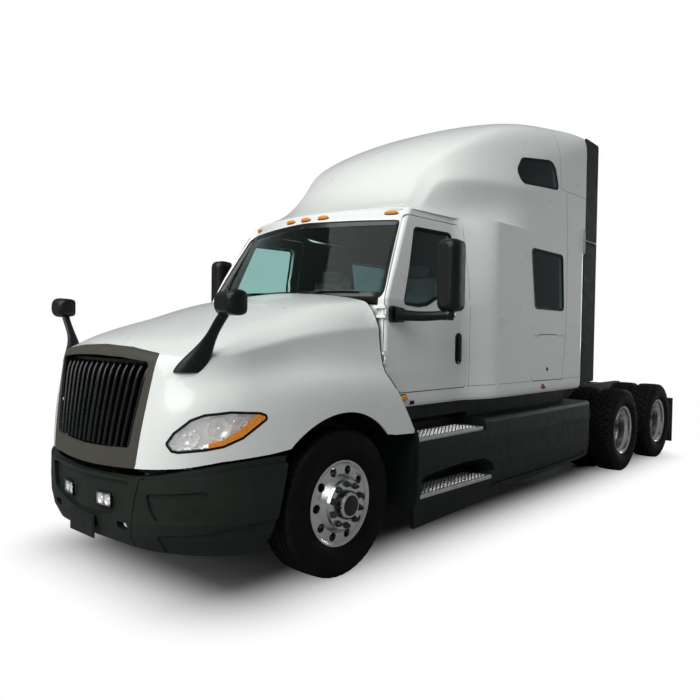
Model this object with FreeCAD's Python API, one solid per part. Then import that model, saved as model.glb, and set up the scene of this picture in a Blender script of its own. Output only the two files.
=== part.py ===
import FreeCAD, Part
import math, os

os.makedirs("parts", exist_ok=True)
V = FreeCAD.Vector

# A bonneted highway tractor with a high-roof sleeper, in millimetres.
# It is drawn with the front axle at Y 0 and moved to the middle of its length when written.
FRONT_OVERHANG = 1300.0
WHEELBASE = 5836.0          # front axle to the middle of the rear pair
REAR_OVERHANG = 1354.0      # middle of the rear pair to the mud flaps
LENGTH = FRONT_OVERHANG + WHEELBASE + REAR_OVERHANG
TANDEM = 1320.0
HUB_Z = 515.0
FRONT_AXLE_Y = FRONT_OVERHANG - LENGTH / 2
REAR_END = LENGTH - FRONT_OVERHANG
REAR_Y = (WHEELBASE - TANDEM / 2, WHEELBASE + TANDEM / 2)

SEAT = 0.3                  # clearance where one piece seats in another
RUN = 0.05                  # radial running clearance
DOOR_GAP = 7.0              # reveal round doors and lids
PANEL_GAP = 12.0            # reveal round the tilting hood

TYRE_R = HUB_Z
TYRE_HALF = 144.0
FLANGE_R = 298.5
BEAD_R = 285.75
DISC_OFFSET = 170.0         # rim middle to mounting face
FRONT_X = 1023.0
KINGPIN_X = 876.0
REAR_X = 914.0
KINGPIN_R = 22.0
SPINDLE_R = 38.0
REAR_SPINDLE_R = 50.0
NUT_CIRCLE = 142.9

RAIL_X, RAIL_W, RAIL_T = 432.0, 80.0, 9.0
RAIL_Z0, RAIL_Z1 = 730.0, 1000.0
RAIL_FRONT, RAIL_REAR = -930.0, REAR_END - 40.0

CAB_X, SLEEPER_X = 1100.0, 1200.0
WALL = 50.0
SKIN = 14.0
CAB_FLOOR = 1120.0
BELT = 1958.0
HEADER = BELT + 682.0
ROOF_SEAM = HEADER + 72.0
CAB_SPLIT = 1660.0
FLARE_START, FLARE_END = 1540.0, 2020.0
SLEEPER_REAR = 3880.0
ARCH_R = 637.0
ARCH_Z = 513.0
TAIL_Y, TAIL_Z = 300.0, 1398.0   # front and top of the fender's tail
HOOD_PIVOT = (-1120.0, 550.0)
DOOR_HINGE_Y = 512.0
HOOD_REAR = 490.0           # rear edge of the hood at the doors
LID_HINGE_Z = 1700.0


def mix(a, b, t):
    return a + (b - a) * t


def box(x0, x1, y0, y1, z0, z1):
    return Part.makeBox(x1 - x0, y1 - y0, z1 - z0, V(x0, y0, z0))


def cyl(r, a, b):
    a, b = V(*a), V(*b)
    return Part.makeCylinder(r, (b - a).Length, a, b - a)


def flip(s):
    return s.mirror(V(0, 0, 0), V(1, 0, 0))


def pair(s):
    return Part.makeCompound([s, flip(s)])


def fuse(shapes):
    out = shapes[0]
    if len(shapes) > 1:
        out = out.fuse(shapes[1:])
    return out.removeSplitter()


def loop(pts, place, r=0.0):
    """Closed wire through 2-D points, its corners rounded by r."""
    n = len(pts)
    rs = r if isinstance(r, (list, tuple)) else [r] * n
    ends = []
    for i in range(n):
        p0, p1, p2 = pts[i - 1], pts[i], pts[(i + 1) % n]
        a = V(p0[0] - p1[0], p0[1] - p1[1], 0)
        b = V(p2[0] - p1[0], p2[1] - p1[1], 0)
        la, lb = a.Length, b.Length
        a, b = a / la, b / lb
        half = a.getAngle(b) / 2
        if rs[i] <= 0 or half > math.pi / 2 - 0.03:
            ends.append((p1, None, p1))
            continue
        t = min(rs[i] / math.tan(half), 0.46 * la, 0.46 * lb)
        rad = t * math.tan(half)
        c = V(p1[0], p1[1], 0)
        axis = (a + b).normalize()
        mid = c + axis * (rad / math.sin(half) - rad)
        s, e = c + a * t, c + b * t
        ends.append(((s.x, s.y), (mid.x, mid.y), (e.x, e.y)))
    edges = []
    for i in range(n):
        s, m, e = ends[i]
        if m:
            edges.append(Part.Arc(place(*s), place(*m), place(*e)).toShape())
        nxt = ends[(i + 1) % n][0]
        if math.hypot(e[0] - nxt[0], e[1] - nxt[1]) > 0.01:
            edges.append(Part.makeLine(place(*e), place(*nxt)))
    return Part.Wire(edges)


def prism_x(pts, x0, x1, r=0.0):
    """(Y, Z) outline run from x0 to x1."""
    w = loop(pts, lambda a, b: V(x0, a, b), r)
    return Part.Face(w).extrude(V(x1 - x0, 0, 0))


def prism_y(pts, y0, y1, r=0.0):
    """(X, Z) outline run from y0 to y1."""
    w = loop(pts, lambda a, b: V(a, y0, b), r)
    return Part.Face(w).extrude(V(0, y1 - y0, 0))


def prism_z(pts, z0, z1, r=0.0):
    """(X, Y) outline run from z0 to z1."""
    w = loop(pts, lambda a, b: V(a, b, z0), r)
    return Part.Face(w).extrude(V(0, 0, z1 - z0))


def grown(pts, d):
    """Outline moved outwards by d (inwards if negative)."""
    n = len(pts)
    area = sum(pts[i - 1][0] * pts[i][1] - pts[i][0] * pts[i - 1][1] for i in range(n))
    sgn = 1.0 if area > 0 else -1.0
    out = []
    for i in range(n):
        p0, p1, p2 = pts[i - 1], pts[i], pts[(i + 1) % n]
        a = V(p1[0] - p0[0], p1[1] - p0[1], 0).normalize()
        b = V(p2[0] - p1[0], p2[1] - p1[1], 0).normalize()
        na, nb = V(a.y, -a.x, 0) * sgn, V(b.y, -b.x, 0) * sgn
        k = d / max(0.3, 1 + na.dot(nb))
        out.append((p1[0] + (na.x + nb.x) * k, p1[1] + (na.y + nb.y) * k))
    return out


def turned_x(profile, x0, sign=1.0, y=0.0, z=HUB_Z):
    """(offset, radius) profile turned about an X axis."""
    pts = [V(x0 + sign * w, y, z + r) for w, r in profile]
    face = Part.Face(Part.makePolygon(pts + pts[:1]))
    return face.revolve(V(x0, y, z), V(1, 0, 0), 360)


def spline(pts, x):
    """Smooth curve through (x, value) points, without overshoot."""
    n = len(pts)
    if x <= pts[0][0]:
        return pts[0][1]
    if x >= pts[-1][0]:
        return pts[-1][1]
    d = [(pts[i + 1][1] - pts[i][1]) / (pts[i + 1][0] - pts[i][0]) for i in range(n - 1)]
    m = [d[0]] + [0.0 if d[i - 1] * d[i] <= 0 else 2 * d[i - 1] * d[i] / (d[i - 1] + d[i])
                  for i in range(1, n - 1)] + [d[-1]]
    for i in range(n - 1):
        if x <= pts[i + 1][0]:
            h = pts[i + 1][0] - pts[i][0]
            t = (x - pts[i][0]) / h
            return ((1 + 2 * t) * (1 - t) ** 2 * pts[i][1] + t * (1 - t) ** 2 * h * m[i]
                    + t * t * (3 - 2 * t) * pts[i + 1][1] + t * t * (t - 1) * h * m[i + 1])


def surface(grid):
    """Smooth surface held by a grid of control points."""
    nu, nv = len(grid), len(grid[0])

    def knots(n):
        inner = n - 3
        return [float(i) for i in range(inner + 1)], [4] + [1] * (inner - 1) + [4]
    uk, um = knots(nu)
    vk, vm = knots(nv)
    s = Part.BSplineSurface()
    s.buildFromPolesMultsKnots([[V(*p) for p in row] for row in grid], um, vm, uk, vk,
                               False, False, 3, 3)
    return s


def net_normal(g, i, j):
    i0, i1 = max(i - 1, 0), min(i + 1, len(g) - 1)
    j0, j1 = max(j - 1, 0), min(j + 1, len(g[0]) - 1)
    du = V(*g[i1][j]) - V(*g[i0][j])
    dv = V(*g[i][j1]) - V(*g[i][j0])
    return du.cross(dv).normalize()


def offset_grid(g, d):
    """The same grid moved along its outward normals by d."""
    out = []
    for i in range(len(g)):
        row = []
        for j in range(len(g[0])):
            p = V(*g[i][j]) + net_normal(g, i, j) * d
            row.append((p.x, p.y, p.z))
        out.append(row)
    return out


def slab(g, outer, inner):
    """Closed solid between two offsets of one surface."""
    so, si = surface(offset_grid(g, outer)), surface(offset_grid(g, inner))
    fo, fi = so.toShape(), si.toShape()
    sides = []
    for iso in ((0, True), (1, True), (0, False), (1, False)):
        curves = []
        for s in (so, si):
            u0, u1, v0, v1 = s.bounds()
            c = s.uIso(u1 if iso[0] else u0) if iso[1] else s.vIso(v1 if iso[0] else v0)
            curves.append(c.toShape())
        sides.append(Part.makeRuledSurface(curves[0], curves[1]))
    shell = Part.makeCompound([fo, fi] + sides)
    shell = Part.makeShell(shell.Faces)
    shell.sewShape(0.01)
    sol = Part.Solid(Part.Shell(shell.Faces))
    if sol.Volume < 0:
        sol.reverse()
    return sol


# Cab and sleeper: one plan outline that changes with height.
# Each row: height, windscreen middle Y, glass corner X and Y, pillar X and Y, side X, and how far
# the sleeper's side and back are tucked in.
CAB_ROWS = [
    (CAB_FLOOR, 540.0, 885.0, 545.0, 1068.0, 505.0, 1068.0, 18.0),
    (CAB_FLOOR + 22, 540.0, 897.0, 545.0, 1082.0, 505.0, 1083.0, 5.0),
    (CAB_FLOOR + 60, 540.0, 905.0, 545.0, 1088.0, 505.0, 1090.0, 0.0),
    (1400.0, 520.0, 930.0, 540.0, 1100.0, 503.0, 1100.0, 0.0),
    (BELT, 425.0, 970.0, 548.0, 1097.0, 518.0, 1100.0, 0.0),
    (mix(BELT, HEADER, 0.355), 522.0, 952.0, 668.0, 1066.0, 645.0, 1070.0, 0.0),
    (mix(BELT, HEADER, 0.677), 616.0, 932.0, 790.0, 1028.0, 768.0, 1031.0, 0.0),
    (HEADER, 708.0, 904.0, 915.0, 985.0, 900.0, 990.0, 0.0),
    (ROOF_SEAM, 770.0, 886.0, 975.0, 966.0, 958.0, 972.0, 0.0),
]


def cab_wire(row, t, rear):
    z, yc, xa, ya, xb, yb, xd, tuck = row
    xs, yr = SLEEPER_X - t - tuck, rear - t - tuck
    yc, ya, yb = yc + t, ya + t, yb + t
    xa, xb, xd = xa - t, xb - t, xd - t

    r = 60.0

    def e(s):
        def p(x, y):
            return V(s * x, y, z)
        flare = Part.BezierCurve()
        flare.setPoles([p(xd, FLARE_START), p(xd + 4, FLARE_START + 150),
                        p(xs - 4, FLARE_END - 150), p(xs, FLARE_END)])
        return [Part.makeLine(p(xa, ya), p(xb - 34, yb)),
                Part.Arc(p(xb - 34, yb), p(xb - 10, yb + 12), p(xb, yb + 40)).toShape(),
                Part.makeLine(p(xb, yb + 40), p(xd, FLARE_START)),
                flare.toShape(),
                Part.makeLine(p(xs, FLARE_END), p(xs, yr - r)),
                Part.Arc(p(xs, yr - r), p(xs - r * 0.293, yr - r * 0.293),
                         p(xs - r, yr)).toShape()]
    front = Part.Arc(V(-xa, ya, z), V(0, yc, z), V(xa, ya, z)).toShape()
    back = Part.makeLine(V(xs - r, yr, z), V(-xs + r, yr, z))
    return Part.Wire([front] + e(1) + [back] + list(reversed(e(-1))))


def cab_solid(t=0.0, z0=None, z1=None, rear=SLEEPER_REAR):
    """The cab and sleeper as a block, its walls t inside the outer skin."""
    rows = [r for r in CAB_ROWS if z0 is None or r[0] > z0 + 5]
    if z0 is not None:
        rows = [(z0,) + rows[0][1:]] + rows
    if z1 is not None:
        rows[-1] = (z1,) + rows[-1][1:]
    return Part.makeLoft([cab_wire(r, t, rear) for r in rows], True, True)


# Hood: guide lines in plan and height, from the cowl out over the crown, round the shoulder,
# down the side and the fender to the lower edge.
HOOD_O = 1000.0             # Y of the upright axis about which the guides are read


def crown(x, y):
    z = spline([(-1300, 1560), (-1150, 1613), (-730, 1748), (-390, 1833), (-20, BELT - 15),
                (160, BELT + 38), (450, BELT + 72), (800, BELT + 92), (1000, BELT + 97)], y)
    return z - 0.11e-3 * x * x


def rings(y):
    return [(0, -y), (300, -y), (500, -y)]


GUIDES = [
    ("cowl", [(0, 640), (180, 690), (300, 810), (350, 940)]),
    ("mid1", [(0, 250), (400, 400), (640, 700), (700, 900)]),
    ("mid2", [(0, -250), (420, -120), (700, 200), (810, 600), (825, 880)]),
    ("mid3", [(0, -700), (400, -620), (640, -350), (800, 100), (865, 500), (880, 860)]),
    ("shoulder", [(0, -1040), (320, -1020), (520, -960), (640, -800), (745, -400),
                  (850, 50), (915, 450), (930, 850)]),
]
SIDE = [
    ("round", [(0, -1130, 1596), (320, -1112, 1590), (560, -1070, 1576), (700, -930, 1606),
               (850, -500, 1712), (935, 0, 1826), (990, 450, 1872), (1000, 850, 1890)]),
    ("brow", [(0, -1180, 1572), (320, -1164, 1566), (585, -1126, 1550), (740, -1010, 1552),
              (900, -740, 1610), (985, -300, 1700), (1030, 200, 1756), (1040, 500, 1772),
              (1045, 850, 1780)]),
    ("edge", [(0, -1196, 1540), (320, -1180, 1534), (600, -1136, 1520), (780, -1016, 1524),
              (948, -790, 1566), (1015, -300, 1668), (1048, 200, 1722), (1056, 500, 1738),
              (1060, 850, 1745)]),
    ("under", [(0, -1202, 1500), (320, -1186, 1496), (596, -1144, 1484), (785, -1024, 1486),
               (950, -790, 1524), (1014, -300, 1628), (1047, 200, 1688), (1056, 500, 1706),
               (1060, 850, 1715)]),
    ("valley", [(0, -1216, 1410), (320, -1200, 1405), (590, -1160, 1396), (790, -1040, 1400),
                (965, -780, 1430), (1025, -300, 1520), (1058, 200, 1560), (1072, 500, 1560),
                (1076, 850, 1560)]),
    ("shelf", [(0, -1230, 1300), (320, -1214, 1295), (580, -1176, 1290), (800, -1060, 1310),
               (1000, -780, 1370), (1064, -300, 1450), (1092, 200, 1452), (1104, 500, 1430),
               (1108, 850, 1420)]),
    ("crest", [(0, -1244, 1190), (320, -1228, 1188), (572, -1192, 1190), (820, -1078, 1220),
               (1040, -760, 1296), (1122, -300, 1390), (1146, 200, 1390), (1148, 500, 1366),
               (1150, 850, 1350)]),
    ("wide", [(0, -1260, 1080), (320, -1240, 1080), (563, -1208, 1084), (830, -1090, 1120),
              (1062, -740, 1190), (1158, -300, 1280), (1182, 150, 1290), (1176, 500, 1260),
              (1172, 850, 1250)]),
    ("low", [(0, -1274, 960), (320, -1254, 960), (554, -1222, 970), (828, -1092, 990),
             (1064, -730, 1050), (1162, -330, 1120), (1190, 100, 1140), (1182, 500, 1110),
             (1176, 850, 1090)]),
    ("edge2", [(0, -1290, 830), (320, -1266, 830), (545, -1236, 840), (822, -1088, 860),
               (1062, -720, 900), (1160, -340, 930), (1190, 100, 940), (1182, 500, 930),
               (1176, 850, 910)]),
    ("hem", [(0, -1296, 760), (320, -1272, 760), (545, -1240, 770), (820, -1086, 790),
             (1060, -716, 820), (1158, -340, 840), (1188, 100, 850), (1180, 500, 840),
             (1174, 850, 820)]),
]
HOOD_PHI = [0, 5, 10, 14, 16.5, 19, 22, 26, 31, 37, 44, 52, 60, 68, 76, 82]


def hood_grid():
    lines = []
    for name, pts in GUIDES:
        lines.append([(math.degrees(math.atan2(x, HOOD_O - y)),
                       math.hypot(x, HOOD_O - y), crown(x, y)) for x, y in pts])
    for name, pts in SIDE:
        lines.append([(math.degrees(math.atan2(x, HOOD_O - y)),
                       math.hypot(x, HOOD_O - y), z) for x, y, z in pts])
    phis = [-p for p in reversed(HOOD_PHI[1:])] + HOOD_PHI
    grid = []
    for ph in phis:
        row = []
        for ln in lines:
            rr = spline([(a, r) for a, r, z in ln], abs(ph))
            zz = spline([(a, z) for a, r, z in ln], abs(ph))
            row.append((rr * math.sin(math.radians(ph)), HOOD_O - rr * math.cos(math.radians(ph)), zz))
        grid.append(row)
    return grid


HOOD = hood_grid()
if net_normal(HOOD, 15, 12).y > 0:
    HOOD = list(reversed(HOOD))

HOOD_SIDE = [(-1500, 825), (-1290, 825), (-1237, 843), (-1080, 863), (-900, 898), (-620, 925),
             (-466, 947), (478, 950), (550, 938), (790, 926), (790, 950), (HOOD_REAR, TAIL_Z),
             (HOOD_REAR, 2300), (-1500, 2300)]
SURROUND = [(-545, 838), (0, 815), (545, 838), (622, 1553), (320, 1588), (0, 1600),
            (-320, 1588), (-622, 1553)]
OPENING = [(-480, 963), (-240, 948), (0, 942), (240, 948), (480, 963), (569, 1500), (300, 1522),
           (0, 1530), (-300, 1522), (-569, 1500)]
LAMP_DIR = V(0.80, -0.60, 0)
LAMP_ACROSS = V(0.60, 0.80, 0)
# headlamp outline: distance along the lamp's width from its inner tip, and height
LAMP = [(-51, 1010), (-20, 968), (18, 962), (176, 976), (289, 994), (405, 1042), (553, 1152),
        (547, 1174), (510, 1189), (334, 1200), (174, 1185), (95, 1156), (-6, 1075)]
LAMP_TIP = V(835, -1140, 0)


def lamp_prism(pts, near, far, r=0.0):
    """Headlamp outline run along the lamp's own direction."""
    w = loop(pts, lambda a, b: LAMP_TIP + LAMP_ACROSS * a + LAMP_DIR * near + V(0, 0, b), r)
    return Part.Face(w).extrude(LAMP_DIR * (far - near))


def nose_y(x, z):
    """Y of the hood's skin on the line across it at x, z."""
    hit = Part.Line(V(x, -2000, z), V(x, 0, z)).intersectCS(HOOD_SURF)[0]
    return min(p.Y for p in hit)


HOOD_SURF = surface(HOOD)
EXPORTED = []


def put(name, shape):
    s = shape.copy()
    s.translate(V(0, FRONT_AXLE_Y, 0))
    s.exportStep("parts/%s.step" % name)
    EXPORTED.append(name)
    b = s.BoundBox
    print("%-22s solids %2d valid %s vol %9.2f l  x %6.0f..%6.0f y %6.0f..%6.0f z %6.0f..%6.0f" % (
        name, len(s.Solids), s.isValid(), s.Volume / 1e6, b.XMin, b.XMax, b.YMin, b.YMax,
        b.ZMin, b.ZMax))


# Hood and nose.
cab_block = cab_solid()
arch = pair(cyl(ARCH_R, (700, 0, ARCH_Z), (1400, 0, ARCH_Z)))
keep = prism_x(HOOD_SIDE, -1400, 1400)
skin = slab(HOOD, 0, -SKIN).common(keep)
surround_prism = prism_y(SURROUND, -1500, -950, 30)
opening_prism = prism_y(OPENING, -1500, -950, 30)
lamp_cut = pair(lamp_prism(LAMP, -200, 400, 14))
cab_clear = cab_solid(-PANEL_GAP, 1000, 2800)
hood_shell = skin.cut(Part.makeCompound([cab_clear, arch.Solids[0], arch.Solids[1]]))
hood_shell = hood_shell.cut(Part.makeCompound(
    [prism_y(grown(SURROUND, SEAT), -1500, -950, 30)] + lamp_cut.Solids))
surround = slab(HOOD, 2, -SKIN).common(keep).common(surround_prism).cut(opening_prism)

ARM_X0, ARM_X1 = 585.0, 612.0
py, pz = HOOD_PIVOT


def ring_part(r0, r1, a0, a1, x0, x1):
    """Arc band about the hood pivot; angles from straight up, rearwards positive."""
    def at(r, a):
        a = math.radians(a)
        return V(x0, py + r * math.sin(a), pz + r * math.cos(a))
    am = (a0 + a1) / 2
    w = Part.Wire([Part.Arc(at(r0, a0), at(r0, am), at(r0, a1)).toShape(),
                   Part.makeLine(at(r0, a1), at(r1, a1)),
                   Part.Arc(at(r1, a1), at(r1, am), at(r1, a0)).toShape(),
                   Part.makeLine(at(r1, a0), at(r0, a0))])
    return Part.Face(w).extrude(V(x1 - x0, 0, 0))


def hood_arm():
    bore = cyl(12 + RUN, (ARM_X0 - 5, py, pz), (ARM_X1 + 5, py, pz))
    hub = cyl(30, (ARM_X0, py, pz), (ARM_X1, py, pz))
    band = ring_part(330, 365, -12, 72, ARM_X0, ARM_X1)
    spoke = box(ARM_X0, ARM_X1, -22, 22, 0, 345)
    spoke.rotate(V(0, 0, 0), V(1, 0, 0), -66)
    spoke.translate(V(0, py, pz))
    zs = (872.0, 930.0, 990.0)
    xm = ARM_X1
    front = [(nose_y(xm, z) + SKIN * 0.55, z) for z in zs]
    plate = prism_x(front + [(py - 20, zs[-1]), (py - 20, zs[0])], ARM_X0, ARM_X1)
    return fuse([hub, band, spoke, plate]).cut(bore)


arm = hood_arm()
tail_zone = pair(box(800, 1400, TAIL_Y, 900, 500, TAIL_Z))
tail_cut = pair(box(790, 1410, TAIL_Y - SEAT, 910, 490, TAIL_Z + SEAT))
tails = hood_shell.common(tail_zone)
hood_main = fuse([hood_shell.cut(tail_cut), arm, flip(arm)])
put("hood_shell", Part.makeCompound(hood_main.Solids + tails.Solids))
put("grille_surround", surround)

BAR_N, BAR_W, MID_BAR_W, BAR_DEEP = 15, 26.0, 40.0, 42.0
BAR_LEVELS = ((950, 14), (1080, 14), (1220, 14), (1360, 15), (1430, 20), (1470, 34), (1496, 62))
bars = []
for i in range(BAR_N):
    u = (i + 0.5) / BAR_N * 2 - 1
    w = MID_BAR_W if i == BAR_N // 2 else BAR_W
    wires = []
    for z, back in BAR_LEVELS:
        x = mix(u * 478, u * 560, (z - 950) / 546.0)
        y = nose_y(x, z) + back
        wires.append(loop([(x - w / 2, y), (x + w / 2, y), (x + w / 2, y + BAR_DEEP), (x - w / 2, y + BAR_DEEP)],
                          lambda a, b, z=z: V(a, b, z)))
    bars.append(Part.makeLoft(wires, True, True))
rails = []
for z0, z1, hw in ((968, 990, 478), (1470, 1492, 556)):
    n = 8
    front = [(-hw + 2 * hw * k / n) for k in range(n + 1)]
    pts = [(x, nose_y(x, (z0 + z1) / 2) + 40) for x in front]
    pts += [(x, y + 22) for x, y in reversed(pts)]
    rails.append(prism_z(pts, z0, z1))
for s in (-1, 1):
    pts = [(s * 480, 960), (s * 566, 1498), (s * 545, 1498), (s * 459, 960)]
    y0 = nose_y(480, 960) + 20
    rails.append(prism_y(pts, y0, y0 + 60))
inner_opening = prism_y(grown(OPENING, -SEAT), -1500, -950, 30)
grille = fuse(bars + rails).common(inner_opening)
put("grille", grille)

LENS_T, BUCKET = 5.0, 70.0
# amber strip along the lamp's lower rear edge
STRIP = [(196, 900), (199, 1013), (289, 1034), (400, 1100), (499, 1188), (520, 1260), (700, 1260),
         (700, 900)]
lens = slab(HOOD, 0, -LENS_T).common(lamp_prism(grown(LAMP, -SEAT), -200, 400, 14))
strip = lamp_prism(STRIP, -200, 400)
put("headlamp_lenses", pair(lens.cut(strip)))
put("turn_lamps", pair(lens.common(lamp_prism(grown(STRIP, -SEAT), -200, 400))))
bucket = slab(HOOD, -LENS_T - SEAT, -BUCKET).common(lamp_prism(grown(LAMP, -SEAT), -200, 400, 14))
put("headlamps", pair(bucket))


def liner():
    a0, a1 = math.radians(-46), math.radians(44)
    r0, r1 = ARCH_R + 16, ARCH_R + 26

    def at(r, a):
        return V(640, r * math.sin(a), ARCH_Z + r * math.cos(a))
    w = Part.Wire([Part.Arc(at(r0, a0), at(r0, 0), at(r0, a1)).toShape(),
                   Part.makeLine(at(r0, a1), at(r1, a1)),
                   Part.Arc(at(r1, a1), at(r1, 0), at(r1, a0)).toShape(),
                   Part.makeLine(at(r1, a0), at(r0, a0))])
    s = Part.Face(w).extrude(V(560, 0, 0))
    s = s.cut(slab(HOOD, 60, -SKIN - SEAT))
    return max(s.Solids, key=lambda q: q.Volume)


put("fender_liners", pair(liner()))


def hood_mirror():
    head = Part.makeLoft([loop([(982 - g, 1796 - g), (1176 + g, 1792 - g), (1176 + g, 1944 + g),
                                (982 - g, 1932 + g)], lambda a, b, y=y: V(a, y, b), 34)
                          for y, g in ((-992, -30), (-962, -5), (-890, 0), (-868, -6))],
                         True, False)
    secs = []
    for x, y, z, a, b in ((770, -1000, 1440, 96, 52), (806, -972, 1515, 88, 48),
                          (856, -950, 1590, 60, 36), (945, -938, 1700, 36, 26),
                          (1036, -928, 1808, 34, 24)):
        e = Part.Wire([Part.Ellipse(V(x, y, z), a, b).toShape()])
        e.rotate(V(x, y, z), V(0, 0, 1), 53)
        secs.append(e)
    stalk = Part.makeLoft(secs, True, False)
    s = head.fuse(stalk).cut(slab(HOOD, SEAT, -160))
    return max(s.Solids, key=lambda q: q.Volume)


put("hood_mirrors", pair(hood_mirror()))

# Cab, doors and glass.
DOOR = [(512, TAIL_Z), (512, BELT - 15), (880, HEADER - 28), (935, HEADER + 12), (1600, HEADER + 12),
        (1622, HEADER - 30), (1622, 1238), (712, 1238)]
DOOR_R = [20, 120, 60, 30, 20, 30, 30, 40]
DOOR_WIN = [(735, BELT - 30), (930, BELT - 42), (1040, BELT - 28), (1180, BELT + 32),
            (1505, BELT + 34), (1505, HEADER - 78), (985, HEADER - 84)]
DOOR_WIN_R = [30, 60, 60, 60, 50, 50, 60]
WINDSCREEN = [(-1066, BELT + 6), (0, BELT + 27), (1066, BELT + 6), (926, HEADER - 24),
              (0, HEADER + 6), (-926, HEADER - 24)]
SCREEN_DEPTH = [(100, BELT - 60), (604, BELT - 60), (604, BELT), (986, HEADER + 20), (100, HEADER + 20)]
SL_WIN = [(2725, BELT + 7), (3370, BELT + 2), (3322, HEADER - 109), (2632, HEADER - 99)]
LUGGAGE = [(2670, 1248), (3400, 1240), (3400, LID_HINGE_Z), (2670, LID_HINGE_Z)]
CAP_WIN = [(2418, ROOF_SEAM + 545), (2545, ROOF_SEAM + 694), (3120, ROOF_SEAM + 764),
           (3188, ROOF_SEAM + 488), (2470, ROOF_SEAM + 438)]
CAP_WIN_R = [90, 90, 130, 45, 90]

DOOR_HOLE = grown(DOOR, DOOR_GAP)
DOOR_HOLE[:3] = [(470, DOOR_HOLE[0][1]), (470, BELT - 15), (850, HEADER)]
PILLAR_LINE = [(1081, 1050), (1081, BELT), (949, HEADER), (949, HEADER + 120)]


def outboard(shift):
    """Everything outside the front post or behind it, the post's edge moved by shift."""
    pts = [(x + shift, z) for x, z in PILLAR_LINE] + [(1500, HEADER + 120), (1500, 1050)]
    top = HEADER + 120
    back = [(596 + shift, 1050), (596 + shift, BELT), (970 + shift, HEADER), (970 + shift, top), (2000, top),
            (2000, 1050)]
    return fuse([prism_y(pts, 0, 2000), prism_x(back, 935, 1500)])


def door_pins(at, web):
    """Pins on the cab, and the ears that hold them, on a door's upright hinge line."""
    ears, pins, knuckles, notches, bores = [], [], [], [], []
    x, y = CAB_X, DOOR_HINGE_Y
    for z in at:
        for a, b in ((z - 27, z - 5), (z + 45, z + 67)):
            ears.append(fuse([box(1020, x + 5, y - 15, y + 6, a, b), box(990, 1040, y - 15, y + 50, a, b)]))
        pins.append(cyl(4, (x, y, z - 20), (x, y, z + 60)))
        knuckles.append(fuse([cyl(8.5, (x, y, z), (x, y, z + 40)), box(x - 12, x, y, y + web, z, z + 40)]))
        notches.append(box(1000, x + 20, y - 20, y + 16, z - 32, z + 72))
        bores.append(cyl(4 + RUN, (x, y, z - 5), (x, y, z + 45)))
    return ears + pins, knuckles, notches, bores


def lid_pins(at):
    """The same for a luggage lid's level hinge line."""
    ears, knuckles, notches, bores = [], [], [], []
    x, z = SLEEPER_X, LID_HINGE_Z
    for y in at:
        for a, b in ((y - 25, y - 5), (y + 35, y + 55)):
            ears.append(box(x - 14, x + 4, a, b, z - 4, z + 16))
        ears.append(cyl(3, (x, y - 20, z), (x, y + 50, z)))
        knuckles.append(fuse([cyl(6, (x, y, z), (x, y + 30, z)), box(x - 10, x, y, y + 30, z - 24, z)]))
        notches.append(box(x - 60, x + 20, y - 30, y + 60, z - 14, z + 20))
        bores.append(cyl(3 + RUN, (x, y - 3, z), (x, y + 33, z)))
    return ears, knuckles, notches, bores


door_hw = door_pins((1490, BELT - 118), 24)
lid_hw = lid_pins((2760, 3270))
shell = cab_block.cut(cab_solid(WALL, CAB_FLOOR + WALL, ROOF_SEAM + 10))
side_cuts = []
q = prism_x(DOOR_HOLE, 700, 1400, DOOR_R).common(outboard(-DOOR_GAP))
side_cuts += [q, flip(q)]
for pts, r in ((SL_WIN, 45), (grown(LUGGAGE, DOOR_GAP), 50)):
    q = prism_x(pts, 900, 1400, r)
    side_cuts += [q, flip(q)]
screen_zone = prism_x(SCREEN_DEPTH, -1200, 1200)
rebate = prism_y(WINDSCREEN, 200, 1050, 60).common(screen_zone).cut(cab_solid(16))
screen_hole = prism_y(grown(WINDSCREEN, -38), 200, 1050, 40).common(screen_zone)
shell = shell.cut(Part.makeCompound(side_cuts)).cut(screen_hole).cut(rebate)
cab_part = shell.common(box(-1500, 1500, 0, CAB_SPLIT - SEAT / 2, 900, 3000))
sleeper_part = shell.common(box(-1500, 1500, CAB_SPLIT + SEAT / 2, 4200, 900, 3000))
put("cab_shell", fuse([cab_part] + door_hw[0] + [flip(e) for e in door_hw[0]]))
put("sleeper_shell", fuse([sleeper_part] + lid_hw[0] + [flip(e) for e in lid_hw[0]]))

glass = cab_solid(6).cut(cab_solid(13)).common(prism_y(grown(WINDSCREEN, -SEAT), 200, 1050, 60))
glass = glass.common(prism_x(SCREEN_DEPTH, -1200, 1200))
put("windshield", glass)
door_skin = cab_block.cut(cab_solid(WALL))
door = door_skin.common(prism_x(DOOR, 800, 1400, DOOR_R)).common(outboard(0))
door = door.cut(Part.makeCompound([prism_x(DOOR_WIN, 800, 1400, DOOR_WIN_R)] + door_hw[2]))
HANDLE_Y, HANDLE_Z = (1470.0, 1545.0), (BELT - 502, BELT - 269)


def handle_outline(d):
    (a, b), (c, e) = HANDLE_Y, HANDLE_Z
    return [(a + d, c + d), (b - d, c + d), (b - d, e - d), (a + d, e - d)]


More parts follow.
